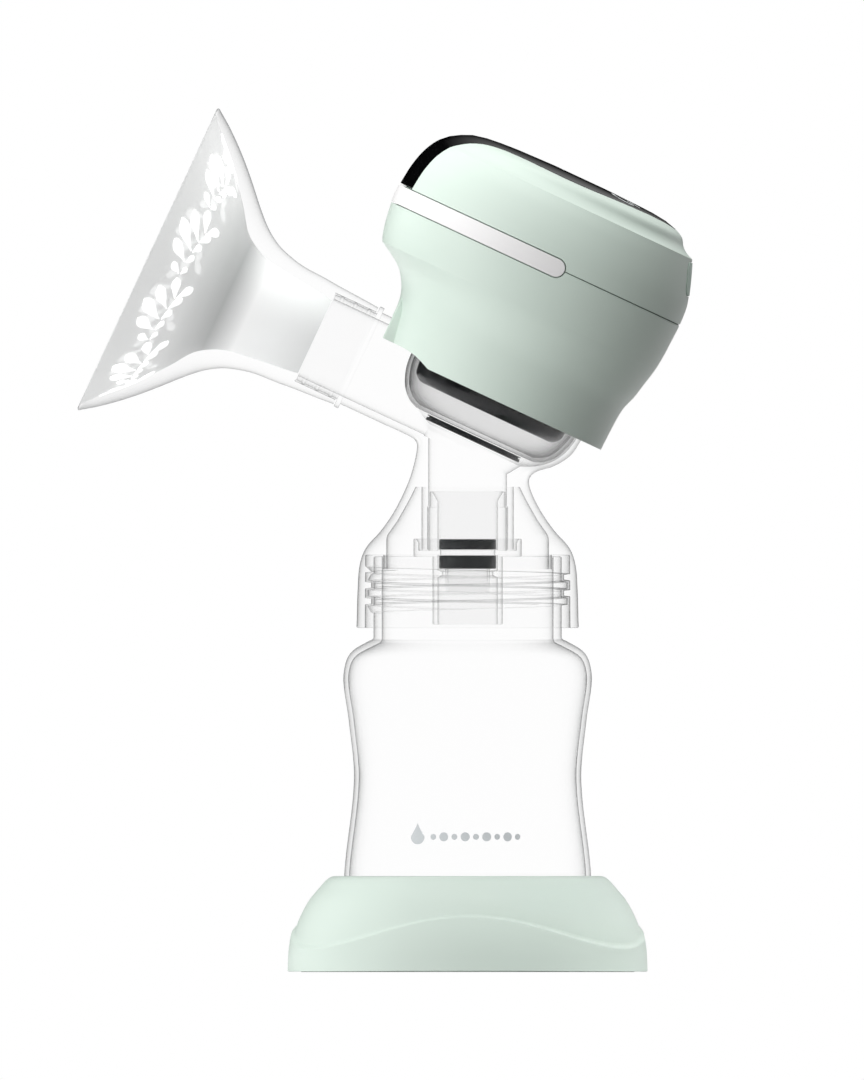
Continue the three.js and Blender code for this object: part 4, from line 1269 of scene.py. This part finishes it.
# Zinc-plated or drawn steel: bright, with fine drawing lines that stretch the highlight.
def plated_steel(name, code, roughness):
    material, tree = blank(name)
    place = add_node(tree, "TexCoord")
    stretch = add_node(tree, "Mapping", {"Scale": (1, 1, 12)}, {"Vector": place.outputs["Object"]})
    drawing = add_node(
        tree, "TexNoise", {"Scale": 1 / (1.5 * MM), "Detail": 3}, {"Vector": stretch.outputs["Vector"]}
    )
    lines = drawing.outputs["Fac"]
    coated(
        tree, {"Base Color": linear(code), "Metallic": 1.0},
        {
            "Roughness": varied(tree, lines, roughness - 0.08, roughness + 0.1),
            "Normal": embossed(tree, lines, 0.1, 0.01),
        },
    )
    return material


steel = plated_steel("zinc_plated_steel", "#B9BCC0", 0.3)
copper = plated_steel("enamelled_copper", "#B0693B", 0.34)

# Solder mask over copper: green, glossy, with the copper below showing as slightly lighter lanes.
mask, tree = blank("green_solder_mask")
place = add_node(tree, "TexCoord")
lanes = add_node(
    tree, "TexBrick",
    {
        "Scale": 1.0, "Brick Width": 5 * MM, "Row Height": 1.8 * MM, "Mortar Size": 0.2 * MM,
        "Color1": linear("#1C6A42"), "Color2": linear("#176039"), "Mortar": linear("#2C8A5A"),
    },
    {"Vector": place.outputs["Object"]},
)
coated(
    tree, {"Roughness": 0.28, "IOR": 1.5}, {"Base Color": lanes.outputs["Color"]}
)

battery_wrap = satin_abs("blue_shrink_wrap", "#5A7DAE", "#52749F", 0.28, 2.0)
dressing = {
    "usb_socket": steel, "solenoid_coil": steel, "solenoid_plunger": steel, "solenoid_spring": steel,
    "motor_can": steel, "motor_rotor": copper, "motor_cushion": dark_rubber, "pump_head": charcoal,
    "pump_membrane": dark_rubber, "pump_cap": charcoal, "chassis": white_abs, "board_ribbon": white_abs,
    "main_board": mask, "touch_board": mask, "display_module": gloss_black, "battery": battery_wrap,
    "air_tube_bowl": clear_silicone, "air_tube_valve": clear_silicone,
}
for prefix, count in (("plate_screw", 3), ("chassis_screw", 4), ("cover_screw", 4)):
    for i in range(count):
        dressing[f"{prefix}_{i + 1}"] = steel
for name, material in dressing.items():
    wear(nodes[name], material)

# ------------------------------------------------------------------ studio
# A plain pale floor in a white room that is bright on the left and shaded on the right. Two soft
# keys stand at the left, one hangs above, and two weak narrow ones light the stand from the right.
# The camera looks square on at the side.

floor = started("floor", bpy.ops.mesh.primitive_plane_add, size=6, location=(0, 0, -0.4 * MM))

# White paper: matt, with a faint relief of fibres.
paper, tree = blank("white_paper")
coated(
    tree, {"Base Color": linear("#F4F4F4"), "Roughness": 0.8},
    {"Normal": embossed(tree, grained(tree, 2), 0.05, 0.05)},
)
wear(floor, paper)
floor.visible_diffuse = False

scene = bpy.context.scene
scene.view_settings.view_transform = "Standard"
scene.cycles.transparent_max_bounces = 64
world = bpy.data.worlds.new("white_studio")
scene.world = world
world.use_nodes = True
tree = world.node_tree
tree.nodes.clear()


def glow(tree, towards, start, end, dark, bright):
    """A background that brightens smoothly towards a direction."""
    place = add_node(tree, "TexCoord").outputs["Generated"]
    nearness = add_node(tree, "VectorMath", {"operation": "DOT_PRODUCT", 1: towards}, {0: place})
    settings = {"From Min": start, "From Max": end, "To Min": dark, "To Max": bright}
    settings["interpolation_type"] = "SMOOTHSTEP"
    level = add_node(tree, "MapRange", settings, {"Value": nearness.outputs["Value"]})
    return add_node(tree, "Background", {}, {"Color": level.outputs["Result"]})


lit = glow(tree, (-0.95, 0, 0.3), -0.35, 0.5, 0.11, 1.42)
mirrored = glow(tree, (0.9, 0, 0.55), 0.05, 0.7, 0.0, 0.9)
path = add_node(tree, "LightPath")
seen = add_node(tree, "Background", {"Color": (1, 1, 1, 1)})
lighting = add_node(
    tree, "MixShader", {},
    {"Fac": path.outputs["Is Glossy Ray"], 1: lit.outputs["Background"], 2: mirrored.outputs["Background"]},
)
mixed = add_node(
    tree, "MixShader", {},
    {"Fac": path.outputs["Is Camera Ray"], 1: lighting.outputs["Shader"], 2: seen.outputs["Background"]},
)
add_node(tree, "OutputWorld", {}, {"Surface": mixed.outputs["Shader"]})


def soft_light(name, at, size, power, aim=(0, 0, 0.12), spread=180):
    """A square area light that faces a point, narrowed by a grid when its spread is under 180."""
    bpy.ops.object.light_add(type="AREA", location=at)
    lamp = bpy.context.object
    lamp.name = name
    lamp.data.size = size
    lamp.data.energy = power
    lamp.data.spread = math.radians(spread)
    lamp.visible_glossy = False
    lamp.rotation_euler = (Vector(aim) - Vector(at)).to_track_quat("-Z", "Y").to_euler()


soft_light("top", (0.12, 0, 0.8), 0.5, 2.4)
for name, side in (("front", -1), ("back", 1)):
    soft_light(f"key_{name}", (-0.75, 0.6 * side, 0.4), 0.6, 1.5)
    soft_light(f"low_{name}", (0.5, 0.22 * side, 0.03), 0.04, 0.0105, (0.02, 0.02 * side, 0), 14)

bpy.ops.object.camera_add(location=(-0.0089, -1.2, 0.108), rotation=(math.pi / 2, 0, 0))
camera = bpy.context.object
camera.data.type = "ORTHO"
camera.data.ortho_scale = 0.27
scene.camera = camera
